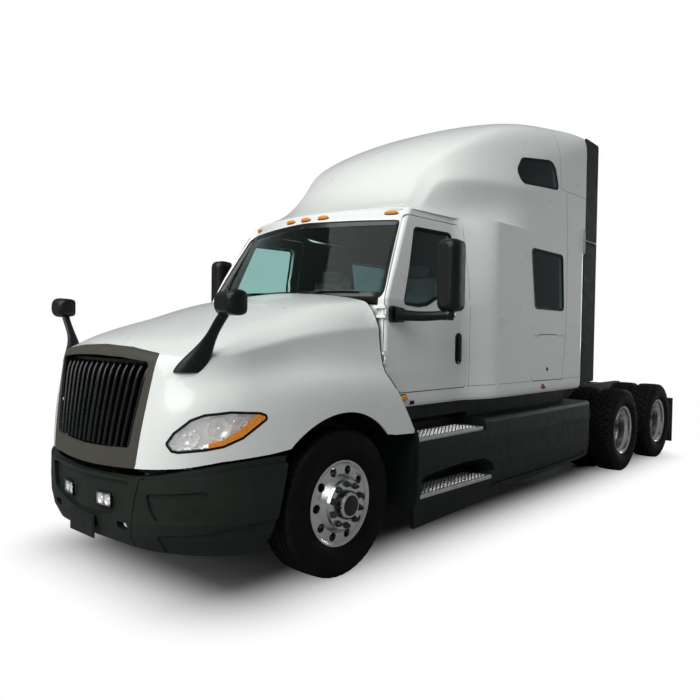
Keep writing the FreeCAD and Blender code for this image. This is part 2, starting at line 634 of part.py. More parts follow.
bezel = prism_x(handle_outline(0), CAB_X - 30, CAB_X + 7, 36)
well = prism_x(handle_outline(10), CAB_X - 22, CAB_X + 40, 27)
grip = box(CAB_X - 14, CAB_X + 4, HANDLE_Y[0] + 28, HANDLE_Y[1] - 28, HANDLE_Z[0] + 8, HANDLE_Z[1] - 8)
door = fuse([door, bezel]).cut(well)
door = fuse([door, grip] + door_hw[1]).cut(Part.makeCompound(door_hw[3]))
put("door_left", door)
put("door_right", flip(door))
dglass = cab_solid(10).cut(cab_solid(16)).common(
    prism_x(grown(DOOR_WIN, -SEAT), 800, 1400, DOOR_WIN_R)).common(outboard(0))
put("door_glass_left", dglass)
put("door_glass_right", flip(dglass))
sglass = box(SLEEPER_X - 14, SLEEPER_X - 6, 2400, 3600, BELT - 60, HEADER + 60).common(
    prism_x(grown(SL_WIN, -SEAT), 900, 1400, 45))
lug = box(SLEEPER_X - WALL, SLEEPER_X, 2400, 3600, 1100, 1800).common(prism_x(LUGGAGE, 900, 1400, 50))
lug = fuse([lug.cut(Part.makeCompound(lid_hw[2]))] + lid_hw[1]).cut(Part.makeCompound(lid_hw[3]))
put("luggage_door_left", lug)
put("luggage_door_right", flip(lug))

# Roof cap.
# Each row is a station from the front lip to the back: the crown, shoulder, upper ridge, lower
# ridge and the hollow under it as (X, Y, height over the seam), then the foot as (X, Y).
CAP_ROWS = [
    ((785, 23), (820, 936, 21), (880, 962, 18), (930, 980, 12), (960, 992, 6), (972, 998)),
    ((900, 88), (780, 1090, 78), (840, 1140, 64), (900, 1175, 43), (945, 1150, 20), (976, 1105)),
    ((1030, 178), (740, 1215, 173), (800, 1275, 158), (870, 1310, 123), (930, 1300, 38), (979, 1220)),
    ((1150, 278), (700, 1310, 288), (770, 1375, 288), (850, 1420, 238), (925, 1440, 56), (982, 1330)),
    ((1300, 438), (690, 1440, 438), (775, 1500, 428), (880, 1500, 328), (925, 1570, 78), (986, 1460)),
    ((1500, 623), (740, 1620, 618), (860, 1650, 573), (960, 1620, 350), (950, 1700, 103), (992, 1640)),
    ((1750, 793), (790, 1850, 768), (950, 1850, 640), (1050, 1820, 373), (1010, 1880, 128), (1045, 1850)),
    ((2050, 948), (820, 2110, 908), (1025, 2110, 688), (1125, 2090, 388), (1095, 2120, 158), (1135, 2100)),
    ((2400, 1093), (850, 2410, 1038), (1085, 2410, 736), (1185, 2410, 394), (1168, 2410, 188), (1195, 2410)),
    ((2750, 1203), (880, 2750, 1133), (1140, 2750, 788), (1200, 2750, 418), (1198, 2750, 228), (1200, 2750)),
    ((3100, 1273), (910, 3100, 1193), (1172, 3100, 858), (1200, 3100, 468), (1200, 3100, 248), (1200, 3100)),
    ((3450, 1304), (960, 3450, 1218), (1190, 3450, 948), (1200, 3450, 528), (1200, 3450, 268), (1200, 3450)),
    ((3700, 1306), (1040, 3700, 1228), (1197, 3700, 1028), (1200, 3700, 578), (1200, 3700, 268),
     (1200, 3700)),
    ((3880, 1298), (1100, 3880, 1203), (1198, 3880, 1068), (1200, 3880, 588), (1200, 3880, 268),
     (1200, 3880)),
]


def cap_grid(t):
    """Control points of the cap, or of its inside t mm within."""
    g = []
    for crown_, shoulder, high, low, hollow, foot in CAP_ROWS:
        (yc, zc), (sx, sy, sz), (hx, hy, hz), (lx, ly, lz) = crown_, shoulder, high, low
        (cx, cy, cz), (fx, fy) = hollow, foot
        row = [(fx - t, fy, 0), (mix(fx, cx, 0.3) - t, mix(fy, cy, 0.3), cz * 0.25),
               (cx - t, cy, cz), (mix(cx, lx, 0.75) - t, mix(cy, ly, 0.75), mix(cz, lz, 0.7)),
               (lx - t, ly, lz - t * 0.3), (mix(lx, hx, 0.3) - t, mix(ly, hy, 0.3), mix(lz, hz, 0.3) - t * 0.4),
               (mix(lx, hx, 0.75) - t, mix(ly, hy, 0.75), mix(lz, hz, 0.75) - t * 0.5),
               (hx - t * 0.8, hy, hz - t * 0.7),
               (mix(hx, sx, 0.3) - t * 0.7, mix(hy, sy, 0.3), mix(hz, sz, 0.75) - t * 0.8),
               (sx - t * 0.4, sy, sz - t)]
        for f, up in ((0.66, 0.62), (0.33, 0.96), (0.0, 1.0)):
            row.append((sx * f, mix(yc, sy, f * f), mix(sz, zc, up) - t))
        ahead = t if yc < 2000 else 0
        row = [(x, y + ahead, ROOF_SEAM + max(z, 0.8 * j)) for j, (x, y, z) in enumerate(row)]
        row += [(-x, y, z) for x, y, z in reversed(row[:-1])]
        g.append(row)
    if t:
        g[-1] = [(x, y - t, z) for x, y, z in g[-1]]
    return g


def cap_solid(t):
    g = cap_grid(t)
    s = surface(g)
    u0, u1, v0, v1 = s.bounds()
    first, last = s.uIso(u0).toShape(), s.uIso(u1).toShape()
    left, right = s.vIso(v0).toShape(), s.vIso(v1).toShape()
    p0, p1 = V(*g[-1][0]), V(*g[-1][-1])
    rear = Part.Face(Part.Wire([last, Part.makeLine(p0, p1)]))
    front_pts = [V(x, y, ROOF_SEAM) for x, y, z in g[0]]
    low = Part.BSplineCurve()
    m = len(front_pts) - 3
    low.buildFromPolesMultsKnots(front_pts, [4] + [1] * (m - 1) + [4], [float(i) for i in range(m + 1)],
                                 False, 3)
    low = low.toShape()
    lip = Part.makeRuledSurface(first, low)
    base = Part.Face(Part.Wire(Part.sortEdges([low, left, Part.makeLine(p0, p1), right])[0]))
    comp = Part.makeShell([s.toShape(), rear, lip, base])
    comp.sewShape(0.05)
    sol = Part.Solid(Part.Shell(comp.Faces))
    if sol.Volume < 0:
        sol.reverse()
    return sol


cap_outer = cap_solid(0)
cap = cap_outer.cut(cap_solid(45))
cw = prism_x(CAP_WIN, 700, 1400, CAP_WIN_R)
cap = cap.cut(Part.makeCompound([cw, flip(cw)]))
cap.translate(V(0, 0, SEAT))
put("roof_cap", cap)
cglass = cap_outer.cut(cap_solid(8)).common(prism_x(grown(CAP_WIN, -SEAT), 700, 1400, CAP_WIN_R))
cglass.translate(V(0, 0, SEAT))
put("sleeper_glass", Part.makeCompound(pair(sglass).Solids + pair(cglass).Solids))

# Bumper.
BUMPER_PLAN = [(0, -1300), (300, -1276), (545, -1246), (800, -1132), (1000, -925), (1105, -700),
               (1176, -420)]


def bumper_wire(z, t, dy):
    def scaled(x, y):
        return V(x * (1 - t / 1180.0), y + t + dy, z)
    pts = [scaled(-x, y) for x, y in reversed(BUMPER_PLAN[1:])] + [scaled(x, y) for x, y in BUMPER_PLAN]
    c = Part.BSplineCurve()
    c.interpolate(pts)
    return Part.Wire([c.toShape(), Part.makeLine(pts[-1], pts[0])])


def bumper_block(t):
    rows = ((250, 78), (330, 62), (420, 22), (520, 4), (640, 0), (800, 2), (960, 10))
    return Part.makeLoft([bumper_wire(z, t + i, 0) for z, i in rows], True, True)


def sunk(outline, depth, r=0.0, both=True):
    """The outer layer of the bumper, depth thick, within an (X, Z) outline."""
    q = prism_y(outline, -1400, -300, r).cut(bumper_block(depth))
    return [q, flip(q)] if both else [q]


BUMPER_T = 44.0
BUMPER_LOW = 359.0
bumper_side = [(-1400, BUMPER_LOW), (-1296, BUMPER_LOW), (-1180, 335), (-1000, 312), (-800, 298), (-620, 292),
               (-500, 908), (-600, 908), (-880, 880), (-1060, 845), (-1180, 800), (-1240, 778), (-1400, 770)]
bumper = bumper_block(0).cut(bumper_block(BUMPER_T)).common(prism_x(bumper_side, -1400, 1400))
# the ledge over the crease, the side recess, the lower tuck and the joints of the end caps
LEDGE = [(603, 782), (770, 799), (949, 826), (1052, 855), (1148, 868), (1400, 880), (1400, 1000), (603, 1000)]
SIDE_RECESS = [(640, 700), (800, 712), (970, 731), (944, 645), (886, 560), (703, 533), (668, 600)]
TUCK = [(700, 440), (792, 455), (939, 464), (1051, 503), (1300, 560), (1300, 200), (700, 200)]
JOINT = [(602, 820), (567, 686), (499, 400), (495, 300), (501, 300), (505, 400), (573, 686), (608, 820)]
PANEL = [(-517, 764), (-300, 752), (0, 748), (300, 752), (517, 764), (462, 580), (326, 533), (143, 501),
         (-143, 501), (-326, 533), (-462, 580)]
TOW_X, TOW_W, TOW_Z = 433.0, 103.0, (447.0, 496.0)
FOG_X, FOG_W, FOG_Z = 238.0, 165.0, (566.0, 654.0)
PANEL_DEEP = 26.0
cuts = sunk(LEDGE, 22) + sunk(SIDE_RECESS, 15, 24) + sunk(TUCK, 9) + sunk(JOINT, 10)
cuts += sunk(PANEL, PANEL_DEEP, 24, False)
for s in (-1, 1):
    x = s * TOW_X
    cuts.append(prism_y([(x - TOW_W / 2, TOW_Z[0]), (x + TOW_W / 2, TOW_Z[0]), (x + TOW_W / 2, TOW_Z[1]),
                         (x - TOW_W / 2, TOW_Z[1])], -1400, -1000, 18))
bumper = bumper.cut(Part.makeCompound(cuts))
plate_holder = fuse([box(-165, 165, -1298, -1292, 344, 495), box(-110, 110, -1293, -1262, 400, 460)])
bumper = fuse([bumper, plate_holder])
put("bumper", bumper)
fogs = []
for s in (-1, 1):
    x = s * FOG_X
    lamp = prism_y([(x - FOG_W / 2, FOG_Z[0]), (x + FOG_W / 2, FOG_Z[0]), (x + FOG_W / 2, FOG_Z[1]),
                    (x - FOG_W / 2, FOG_Z[1])], -1400, -1000, 24)
    fogs.append(lamp.common(bumper_block(8)).cut(bumper_block(PANEL_DEEP - SEAT)))
put("fog_lamps", Part.makeCompound(fogs))

# Chassis.
def rail(s):
    a, b = RAIL_X * s, (RAIL_X - RAIL_W) * s
    outer = box(min(a, b), max(a, b), RAIL_FRONT, RAIL_REAR, RAIL_Z0, RAIL_Z1)
    a2, b2 = (RAIL_X - RAIL_T) * s, (RAIL_X - RAIL_W - 5) * s
    return outer.cut(box(min(a2, b2), max(a2, b2), RAIL_FRONT - 5, RAIL_REAR + 5,
                         RAIL_Z0 + RAIL_T, RAIL_Z1 - RAIL_T))


CROSS = ((RAIL_FRONT + 25, 40), (1500.0, 130), (3000.0, 40), (REAR_Y[0] - 926, 40), (WHEELBASE, 40),
         (RAIL_REAR - 40, 40))
cross = [box(-RAIL_X + RAIL_T, RAIL_X - RAIL_T, y - 35, y + 35, RAIL_Z0 + up, RAIL_Z1 - 40)
         for y, up in CROSS]
behind_bumper = bumper_block(-80).cut(bumper_block(BUMPER_T + SEAT))
horns = []
for s in (-1, 1):
    x0, x1 = sorted((s * 405, s * 425))
    horns.append(box(x0, x1, -1290, RAIL_FRONT + 60, 520, 760).cut(behind_bumper))
    a, b = sorted((s * 400, s * (ARM_X0 - 6)))
    horns.append(cyl(22, (s * 400, py, pz), (s * (ARM_X0 - 6), py, pz)))
    horns.append(cyl(12, (s * 400, py, pz), (s * (ARM_X1 + 14), py, pz)))
CAB_MOUNTS = (640.0, 1560.0, 2450.0, 3720.0)
stands = [box(min(s * 362, s * RAIL_X), max(s * 362, s * RAIL_X), y - 70, y + 70, RAIL_Z1 - RAIL_T,
              CAB_FLOOR - SEAT) for y in CAB_MOUNTS for s in (-1, 1)]
frame = fuse([rail(1), rail(-1)] + cross + horns + stands)
put("frame", frame)

ENGINE_REAR = 440.0
FAIR_Y = (800.0, REAR_Y[0] - 1036.0)
put("engine", box(-340, 340, -740, ENGINE_REAR, 640, 1500))
put("gearbox", box(-240, 240, ENGINE_REAR + SEAT, 1300, 640, 960))
put("radiator", box(-430, 430, -880, -780, 1000 + SEAT, 1480))


def i_beam():
    z0 = 470.0
    pts = [(-KINGPIN_X - 40, z0 - 45), (-KINGPIN_X + 90, z0 - 45), (-560, z0 - 110), (560, z0 - 110),
           (KINGPIN_X - 90, z0 - 45), (KINGPIN_X + 40, z0 - 45), (KINGPIN_X + 40, z0 + 45),
           (KINGPIN_X - 90, z0 + 45), (560, z0 - 5), (-560, z0 - 5), (-KINGPIN_X + 90, z0 + 45),
           (-KINGPIN_X - 40, z0 + 45)]
    b = prism_y(pts, -45, 45)
    pins = []
    for s in (-1, 1):
        b = b.cut(box(min(s * 950, s * (KINGPIN_X - 42)), max(s * 950, s * (KINGPIN_X - 42)), -60, 60, 300, 700))
        eye = cyl(42, (s * KINGPIN_X, 0, z0 - 45), (s * KINGPIN_X, 0, z0 + 45))
        link = box(min(s * (KINGPIN_X - 50), s * KINGPIN_X), max(s * (KINGPIN_X - 50), s * KINGPIN_X),
                   -40, 40, z0 - 45, z0 + 45)
        pins += [eye, link, cyl(KINGPIN_R, (s * KINGPIN_X, 0, z0 - 115), (s * KINGPIN_X, 0, z0 + 115))]
    return fuse([b] + pins)


put("front_axle", i_beam())


def knuckle():
    z0 = 470.0
    k = KINGPIN_X
    body = box(k - 40, k + 46, -42, 42, z0 - 105, z0 + 105)
    body = body.cut(box(k - 60, k + 43.5, -60, 60, z0 - 45 - 1, z0 + 45 + 1)).cut(
        cyl(44, (k, 0, z0 - 46), (k, 0, z0 + 46)))
    spindle = cyl(SPINDLE_R, (k + 42, 0, HUB_Z), (FRONT_X + 140, 0, HUB_Z))
    plate = cyl(180, (k + 44, 0, HUB_Z), (k + 52, 0, HUB_Z))
    arm_ = box(k - 22, k + 22, 40, 225, z0 - 100, z0 - 62)
    s = fuse([body, spindle, plate, arm_])
    s = s.cut(cyl(KINGPIN_R + RUN, (k, 0, z0 - 130), (k, 0, z0 + 130)))
    return s.cut(cyl(9 + RUN, (k, 200, z0 - 120), (k, 200, z0 - 50)))


kn = knuckle()
put("knuckle_left", kn)
put("knuckle_right", flip(kn))
tie_z = 470.0 - 135
tie = fuse([cyl(17, (-KINGPIN_X, 200, tie_z), (KINGPIN_X, 200, tie_z))] +
           [cyl(24, (s * KINGPIN_X, 200, tie_z - 22), (s * KINGPIN_X, 200, tie_z + 30)) for s in (-1, 1)] +
           [cyl(9, (s * KINGPIN_X, 200, tie_z + 20), (s * KINGPIN_X, 200, tie_z + 66)) for s in (-1, 1)])
put("tie_rod", tie)

springs = []
for s in (-1, 1):
    x0, x1 = sorted((s * 350, s * 440))
    leaf = prism_x([(-760, 660), (-400, 590), (0, 562), (400, 590), (760, 660), (760, 640), (400, 570),
                    (0, 542), (-400, 570), (-760, 640)], x0, x1)
    seat_ = box(x0, x1, -70, 70, 470 - 5 + SEAT, 545)
    hang = [box(x0, x1, y - 30, y + 30, 640, RAIL_Z0 - SEAT) for y in (-760, 760)]
    springs.append(fuse([leaf, seat_] + hang))
AXLE_R = 64.0
AXLE_TOP = HUB_Z + AXLE_R + SEAT
for y in REAR_Y:
    for s in (-1, 1):
        x0, x1 = sorted((s * 350, s * 440))
        beam = prism_x([(y - 520, 606), (y + 90, 606), (y + 420, 475), (y + 420, 440), (y + 90, AXLE_TOP),
                        (y - 90, AXLE_TOP), (y - 520, 566)], x0, x1)
        hanger = box(x0, x1, y - 560, y - 480, 540, RAIL_Z0 - SEAT)
        bag = cyl(105, (s * 395, y + 330, 475), (s * 395, y + 330, RAIL_Z0 - SEAT))
        springs.append(fuse([beam, hanger, bag]))
put("suspension", Part.makeCompound(springs))

rears = []
for y in REAR_Y:
    tube = cyl(AXLE_R, (-690, y, HUB_Z), (690, y, HUB_Z))
    bowl = cyl(205, (0, y - 100, HUB_Z), (0, y + 100, HUB_Z))
    nose = cyl(70, (0, y - 330, HUB_Z), (0, y - 90, HUB_Z))
    sp = [cyl(REAR_SPINDLE_R, (s * 600, y, HUB_Z), (s * 985, y, HUB_Z)) for s in (-1, 1)]
    rears.append(fuse([tube, bowl, nose] + sp))
put("rear_axles", Part.makeCompound(rears))
shaft = [cyl(45, (0, 1200, 808), (0, REAR_Y[0] - 250, HUB_Z + 4)).common(
    box(-90, 90, 1300 + SEAT, REAR_Y[0] - 330 - SEAT, 300, 1000)),
    cyl(40, (0, REAR_Y[0] + 100 + SEAT, HUB_Z), (0, REAR_Y[1] - 330 - SEAT, HUB_Z))]
put("driveshaft", Part.makeCompound(shaft))
tanks = []
for s in (-1, 1):
    t = [cyl(290, (s * 765, 2060, 630), (s * 765, FAIR_Y[1] - 170, 630))]
    for y in (2250, 2950, 3750):
        x0, x1 = sorted((s * (RAIL_X + SEAT), s * 560))
        t.append(box(x0, x1, y - 40, y + 40, 740, 930))
    tanks.append(fuse(t))
put("fuel_tanks", Part.makeCompound(tanks))


# Side fairings and steps.
FAIR_X = 1205.0
SHELF_Z = 953.0
STEP_Y, STEP_Z, STEP_IN = ((812.0, 1780.0), (850.0, 1939.0)), (884.0, 432.0), (930.0, 940.0)
STEP_T = 30.0
FAIR_CREASE = [(FAIR_Y[0] - 10, 622), (873, 631), (1237, 661), (1689, 688), (2239, 715), (2893, 753), (3711, 760),
               (FAIR_Y[1] + 10, 764)]


def fairing():
    sec = [(FAIR_X - 22, SHELF_Z), (FAIR_X + 4, 920), (FAIR_X + 14, 780), (FAIR_X + 14, 620), (FAIR_X - 2, 420),
           (FAIR_X - 40, 250), (FAIR_X - 75, 140), (FAIR_X - 110, 140), (FAIR_X - 76, 250),
           (FAIR_X - 38, 420), (FAIR_X - 22, 620), (FAIR_X - 22, 780), (FAIR_X - 40, SHELF_Z - 28),
           (700, SHELF_Z - 28), (700, SHELF_Z)]
    rs = [26, 30, 40, 40, 40, 40, 0, 0, 20, 20, 20, 20, 10, 0, 0]
    w = loop(sec, lambda a, b: V(a, FAIR_Y[0], b), rs)
    body = Part.Face(w).extrude(V(0, FAIR_Y[1] - FAIR_Y[0], 0))
    side = [(FAIR_Y[0], 960), (FAIR_Y[1], 960), (FAIR_Y[1], 345), (3900, 318), (2300, 262), (1900, 200),
            (860, 150), (FAIR_Y[0], 300)]
    plan = [(600, FAIR_Y[0]), (1300, FAIR_Y[0]), (1300, FAIR_Y[1] - 40), (FAIR_X + 16, FAIR_Y[1] - 70),
            (FAIR_X - 60, FAIR_Y[1]), (600, FAIR_Y[1])]
    ends = [box(700, FAIR_X - 30, FAIR_Y[0], FAIR_Y[0] + 14, 330, SHELF_Z - 10),
            box(1060, FAIR_X - 62, FAIR_Y[1] - 90, FAIR_Y[1] - 70, 345, SHELF_Z - 10)]
    upright = box(990, 1004, FAIR_Y[0], SLEEPER_REAR - 40, SHELF_Z - 14, CAB_FLOOR - SEAT)
    body = fuse([body] + ends)
    body = body.common(prism_x(side, 600, 1400)).common(prism_z(plan, 100, 1000, [0, 0, 60, 60, 40, 0]))
    # skin below the crease lies 9 mm further in, and a rib follows the lower edge
    below = prism_x(FAIR_CREASE + [(FAIR_Y[1] + 10, 100), (FAIR_Y[0] - 10, 100)], FAIR_X + 5, 1400)
    lip = prism_x([(2000, 322), (2940, 322), (3651, 337), (3962, 353), (4010, 415), (3996, 420), (3955, 367),
                   (3651, 351), (2940, 338), (2000, 338)], FAIR_X - 30, FAIR_X - 3)
    joints_ = [prism_x([(2187 + d, 915), (2191 + d, 915), (2249 + d, 480), (2245 + d, 480)], FAIR_X - 8, 1400)
               for d in (0,)]
    joints_.append(prism_x([(2986, 896), (2990, 896), (3036, 419), (3032, 419)], FAIR_X - 4, 1400))
    (a0, a1), (b0, b1) = STEP_Y
    za, zb = (z - STEP_T - SEAT for z in STEP_Z)
    upper = box(STEP_IN[0] - 4, 1400, a0 - 4, a1 + 30, za, 1000)
    mouth = [(b0 - 4, zb), (b1 + 12, zb), (b1 + 60, zb + 80), (b1 + 10, 560), (1800, 628), (1500, 640),
             (1237, 622), (900, 596), (b0 - 4, 560)]
    back = [(b0 + 40, zb), (b1 - 40, zb), (b1 - 40, zb + 30), (b1 - 60, zb + 60), (1750, zb + 80), (1500, zb + 84),
            (1237, zb + 84), (950, zb + 80), (b0 + 40, zb + 60)]
    pocket = Part.makeLoft([loop(mouth, lambda a, b: V(1260, a, b)),
                            loop(back, lambda a, b: V(STEP_IN[1] - 4, a, b))], True, True)
    around = Part.makeLoft([loop(grown(mouth, 14), lambda a, b: V(FAIR_X - 24, a, b)),
                            loop(grown(back, 14), lambda a, b: V(STEP_IN[1] - 18, a, b))], True, True)
    tray = box(STEP_IN[0] - 18, FAIR_X - 26, a0 - 10, a1 + 44, za - 14, SHELF_Z - 10)
    f = fuse([body.cut(below), lip, upright, around.common(prism_x(side, 600, 1400)), tray])
    slot = box(STEP_IN[1] - SEAT, 1400, b0 - SEAT, b1 + SEAT, zb, STEP_Z[1])
    return f.cut(Part.makeCompound([upper, pocket, slot] + joints_))


fa = fairing()
put("fairing_left", fa)
put("fairing_right", flip(fa))


def tread(y0, y1, x0, z):
    """Step tread with its inner rear corner cut off and rows of grip slots."""
    x1 = FAIR_X - 2
    plate_ = prism_z([(x0, y0), (x1, y0), (x1, y1), (x0 + 60, y1), (x0, y1 - 70)], z - STEP_T, z, [2, 6, 6, 2, 2])
    n = 12
    pitch = (y1 - y0 - 90) / n
    slots = [box(x0 + a, x0 + b, y0 + 30 + k * pitch, y0 + 30 + (k + 0.45) * pitch, z - 8, z + 5)
             for k in range(n) for a, b in ((40, 120), (150, 230))]
    return plate_.cut(Part.makeCompound(slots))


treads = [tread(y[0], y[1], x, z) for y, x, z in zip(STEP_Y, STEP_IN, STEP_Z)]
put("steps", Part.makeCompound(treads + [flip(t) for t in treads]))

# Rear body pieces.
e0 = SLEEPER_REAR + SEAT
EXT_Y, EXT_T = REAR_Y[0] - 956.0, 22.0
ext = prism_x([(e0, CAB_FLOOR + 40), (EXT_Y, CAB_FLOOR + 60), (EXT_Y, ROOF_SEAM + 1150), (e0, ROOF_SEAM + 1165)],
              SLEEPER_X - 8 - EXT_T, SLEEPER_X - 8, [1, 20, 30, 1])
hinge_bar = cyl(14, (SLEEPER_X - 24, e0 + 16, CAB_FLOOR + 60), (SLEEPER_X - 24, e0 + 16, ROOF_SEAM + 1100))
ext = fuse([ext, hinge_bar])
put("side_extenders", pair(ext))
fw_y = WHEELBASE - 120
base = []
for s in (-1, 1):
    x0, x1 = sorted((s * 330, s * 420))
    base.append(box(x0, x1, fw_y - 320, fw_y + 320, RAIL_Z1 + SEAT, RAIL_Z1 + 20))
    lug_ = box(x0 + 20, x1 - 20, fw_y - 46, fw_y + 46, RAIL_Z1 + 20, 1130)
    base.append(fuse([lug_, cyl(46, (x0 + 20, fw_y, 1125), (x1 - 20, fw_y, 1125))]))
    a, b = sorted((s * 260, s * 400))
    base.append(cyl(20, (a, fw_y, 1125), (b, fw_y, 1125)))
bed = box(-420, 420, fw_y - 320, fw_y + 320, RAIL_Z1 + SEAT, RAIL_Z1 + 12)
bed = bed.cut(cyl(150, (0, fw_y, RAIL_Z1 - 20), (0, fw_y, RAIL_Z1 + 40)))
fwb = fuse(base + [bed])
put("fifth_wheel_base", fwb)
KP_R = 25.4 + RUN


def fifth_wheel():
    disc = cyl(450, (0, fw_y, 1180), (0, fw_y, 1206))
    ramp = prism_x([(fw_y + 300, 1206), (fw_y + 300, 1180), (fw_y + 560, 1120), (fw_y + 560, 1146)], -300, 300)
    p = disc.fuse(ramp)
    throat = prism_z([(-KP_R - 6, fw_y + 46), (KP_R + 6, fw_y + 46), (KP_R + 16, fw_y + 140),
                      (150, fw_y + 700), (-150, fw_y + 700), (-KP_R - 16, fw_y + 140)], 1000, 1300)
    jaw = cyl(110, (0, fw_y, 1120), (0, fw_y, 1180))
    p = fuse([p, jaw])
    p = p.cut(throat).cut(cyl(KP_R, (0, fw_y, 1000), (0, fw_y, 1300)))
    ears = [box(s * 300 - 22, s * 300 + 22, fw_y - 70, fw_y + 70, 1090, 1190) for s in (-1, 1)]
    p = fuse([p] + ears)
    p = p.cut(cyl(20 + RUN, (-460, fw_y, 1125), (460, fw_y, 1125)))
    return p


put("fifth_wheel_plate", fifth_wheel())
flaps = box(560, 1200, REAR_END - 12, REAR_END, 148, 790)
hang = fuse([box(RAIL_X + SEAT, 1180, REAR_END - 42, REAR_END - 12, 750, 790),
             box(RAIL_X + SEAT, RAIL_X + 30, REAR_END - 130, REAR_END - 12, 745, 860)])
put("mud_flaps", pair(fuse([flaps, hang])))
tl = [cyl(50, (s * x, REAR_END - 20, 860), (s * x, REAR_END, 860)) for s in (-1, 1) for x in (260, 372)]
put("tail_lamps", Part.makeCompound(tl + [box(-425, 425, RAIL_REAR + SEAT, REAR_END - 20 - SEAT, 800, 920)]))

# Mirrors and inside.
def door_mirror():
    low, high = BELT - 90, BELT + 458
    head = Part.makeLoft([loop([(1330 + g, low + g), (1502 - g, low + g), (1502 - g, high - g),
                                (1330 + g, high - g)], lambda a, b, y=y: V(a, y, b), 50)
                          for y, g in ((806, 40), (836, 8), (926, 0), (972, 4))], True, False)
    secs = []
    for x, y, z, h, w in ((1100, 628, BELT - 118, 62, 72), (1150, 652, BELT - 122, 46, 48), (1240, 724, BELT - 128, 38, 36),
                          (1340, 806, BELT - 124, 36, 34), (1420, 872, BELT - 116, 38, 40)):
        e = Part.Wire([Part.Ellipse(V(x, y, z), h, w).toShape()]) if h > w else None
        if e is None:
            e = Part.Wire([Part.Ellipse(V(x, y, z), w, h).toShape()])
            e.rotate(V(x, y, z), V(0, 0, 1), 90)
        e.rotate(V(x, y, z), V(0, 1, 0), 90)
        e.rotate(V(x, y, z), V(0, 0, 1), 39)
        secs.append(e)
    arm_ = Part.makeLoft(secs, True, False)
    foot = prism_x([(548, BELT - 180), (712, BELT - 176), (724, BELT - 70), (548, BELT - 50)], 1080, 1124, 24)
    elbow = cyl(40, (1420, 876, BELT - 156), (1420, 876, low + 30))
    s = fuse([head, arm_, foot, elbow])
    s = s.cut(cab_solid(-SEAT, 1000, HEADER + 160))
    return max(s.Solids, key=lambda q: q.Volume)


mr = door_mirror()
put("mirror_left", mr)
put("mirror_right", flip(mr))

FLOOR_TOP = CAB_FLOOR + WALL + SEAT
dash = prism_x([(622, FLOOR_TOP), (622, BELT - 68), (760, BELT - 43), (960, BELT - 108), (985, BELT - 338),
                (860, BELT - 398), (860, FLOOR_TOP)], -1020, 1020, [2, 30, 60, 60, 30, 30, 2])
cmp_ = []
for s in (-1, 1):
    x = s * 560
    cmp_.append(fuse([box(x - 250, x + 250, 1180, 1680, 1560, 1680), box(x - 250, x + 250, 1620, 1740, 1600, 2330),
                      box(x - 130, x + 130, 1250, 1600, FLOOR_TOP, 1570)]))
bunk = prism_z([(-1145, 2950), (1145, 2950), (1145, 3826), (-1145, 3826)], 1700, 1900, [20, 20, 80, 80])
put("seats", Part.makeCompound(cmp_))
put("bunk", fuse([bunk, box(-1100, 1100, 2990, 3750, FLOOR_TOP, 1710)]))
sw_n = V(0, math.cos(math.radians(30)), math.sin(math.radians(30)))
sw_c = V(560, 1010, BELT - 128)


def along(d):
    p = sw_c + sw_n * d
    return (p.x, p.y, p.z)


column = cyl(30, along(-170), along(-28))
dash = fuse([dash, column]).cut(cyl(12 + RUN, along(-160), along(-20)))
put("dashboard", dash)
spokes = [box(sw_c.x - 16, sw_c.x + 16, sw_c.y - 226, sw_c.y, sw_c.z - 8, sw_c.z + 8),
          box(sw_c.x - 226, sw_c.x + 226, sw_c.y - 16, sw_c.y + 16, sw_c.z - 8, sw_c.z + 8)]
for q in spokes:
    q.rotate(sw_c, V(1, 0, 0), -60)
put("steering_wheel", fuse([Part.makeTorus(228, 15, sw_c, sw_n), cyl(58, along(-22), along(16)),
                            cyl(12, along(-150), along(-20))] + spokes))

ml = []
for x in (-820, -202, 0, 202, 820):
    y = 752 + 0.225e-3 * x * x
    lamp = prism_z([(-59, 0), (-42, -36), (42, -36), (59, 0), (59, 40), (-59, 40)],
                   HEADER + 30, HEADER + 60, [14, 26, 26, 14, 2, 2])
    lamp.rotate(V(0, 0, 0), V(0, 0, 1), math.degrees(math.atan(0.45e-3 * x)))
    lamp.translate(V(x, y, 0))
    ml.append(max(lamp.cut(cab_solid(-SEAT)).Solids, key=lambda q: q.Volume))
put("marker_lamps", Part.makeCompound(ml))

# Wheels.
RIM = [(-120, 298.5), (-112, 298.5), (-110, 285.75), (-76, 284), (-44, 262), (22, 262), (56, 284),
       (110, 285.75), (112, 298.5), (120, 298.5), (120, 288), (108, 274), (60, 272), (26, 250),
       (-48, 250), (-80, 272), (-108, 274), (-120, 288)]
DISC = [(80, 276), (106, 276), (109, 262), (113, 206), (150, 178), (DISC_OFFSET, 170), (DISC_OFFSET, 60),
        (148, 60), (148, 160), (128, 172), (96, 200), (90, 262)]


def holes(x0, x1, r, n, hr, y):
    out = []
    for i in range(n):
        a = 2 * math.pi * (i + 0.5) / n
        out.append(cyl(hr, (x0, y + r * math.sin(a), HUB_Z + r * math.cos(a)),
                       (x1, y + r * math.sin(a), HUB_Z + r * math.cos(a))))
    return out


def front_wheel():
    x = FRONT_X
    rim_ = turned_x(RIM, x)
    disc = turned_x(DISC, x).cut(Part.makeCompound(holes(x + 60, x + 140, 234, 10, 31, 0)))
    hub = turned_x([(-45, SPINDLE_R + RUN), (-45, 92), (60, 92), (126, 110), (126, 158), (148, 158), (148, 96),
                    (200, 92), (214, 80), (214, 0), (190, 0), (190, SPINDLE_R + RUN)], x)
    drum = turned_x([(-60, 196), (-60, 216), (60, 216), (75, 150), (75, 90), (60, 90), (60, 150), (50, 196)], x)
    return fuse([rim_, disc, hub, drum])


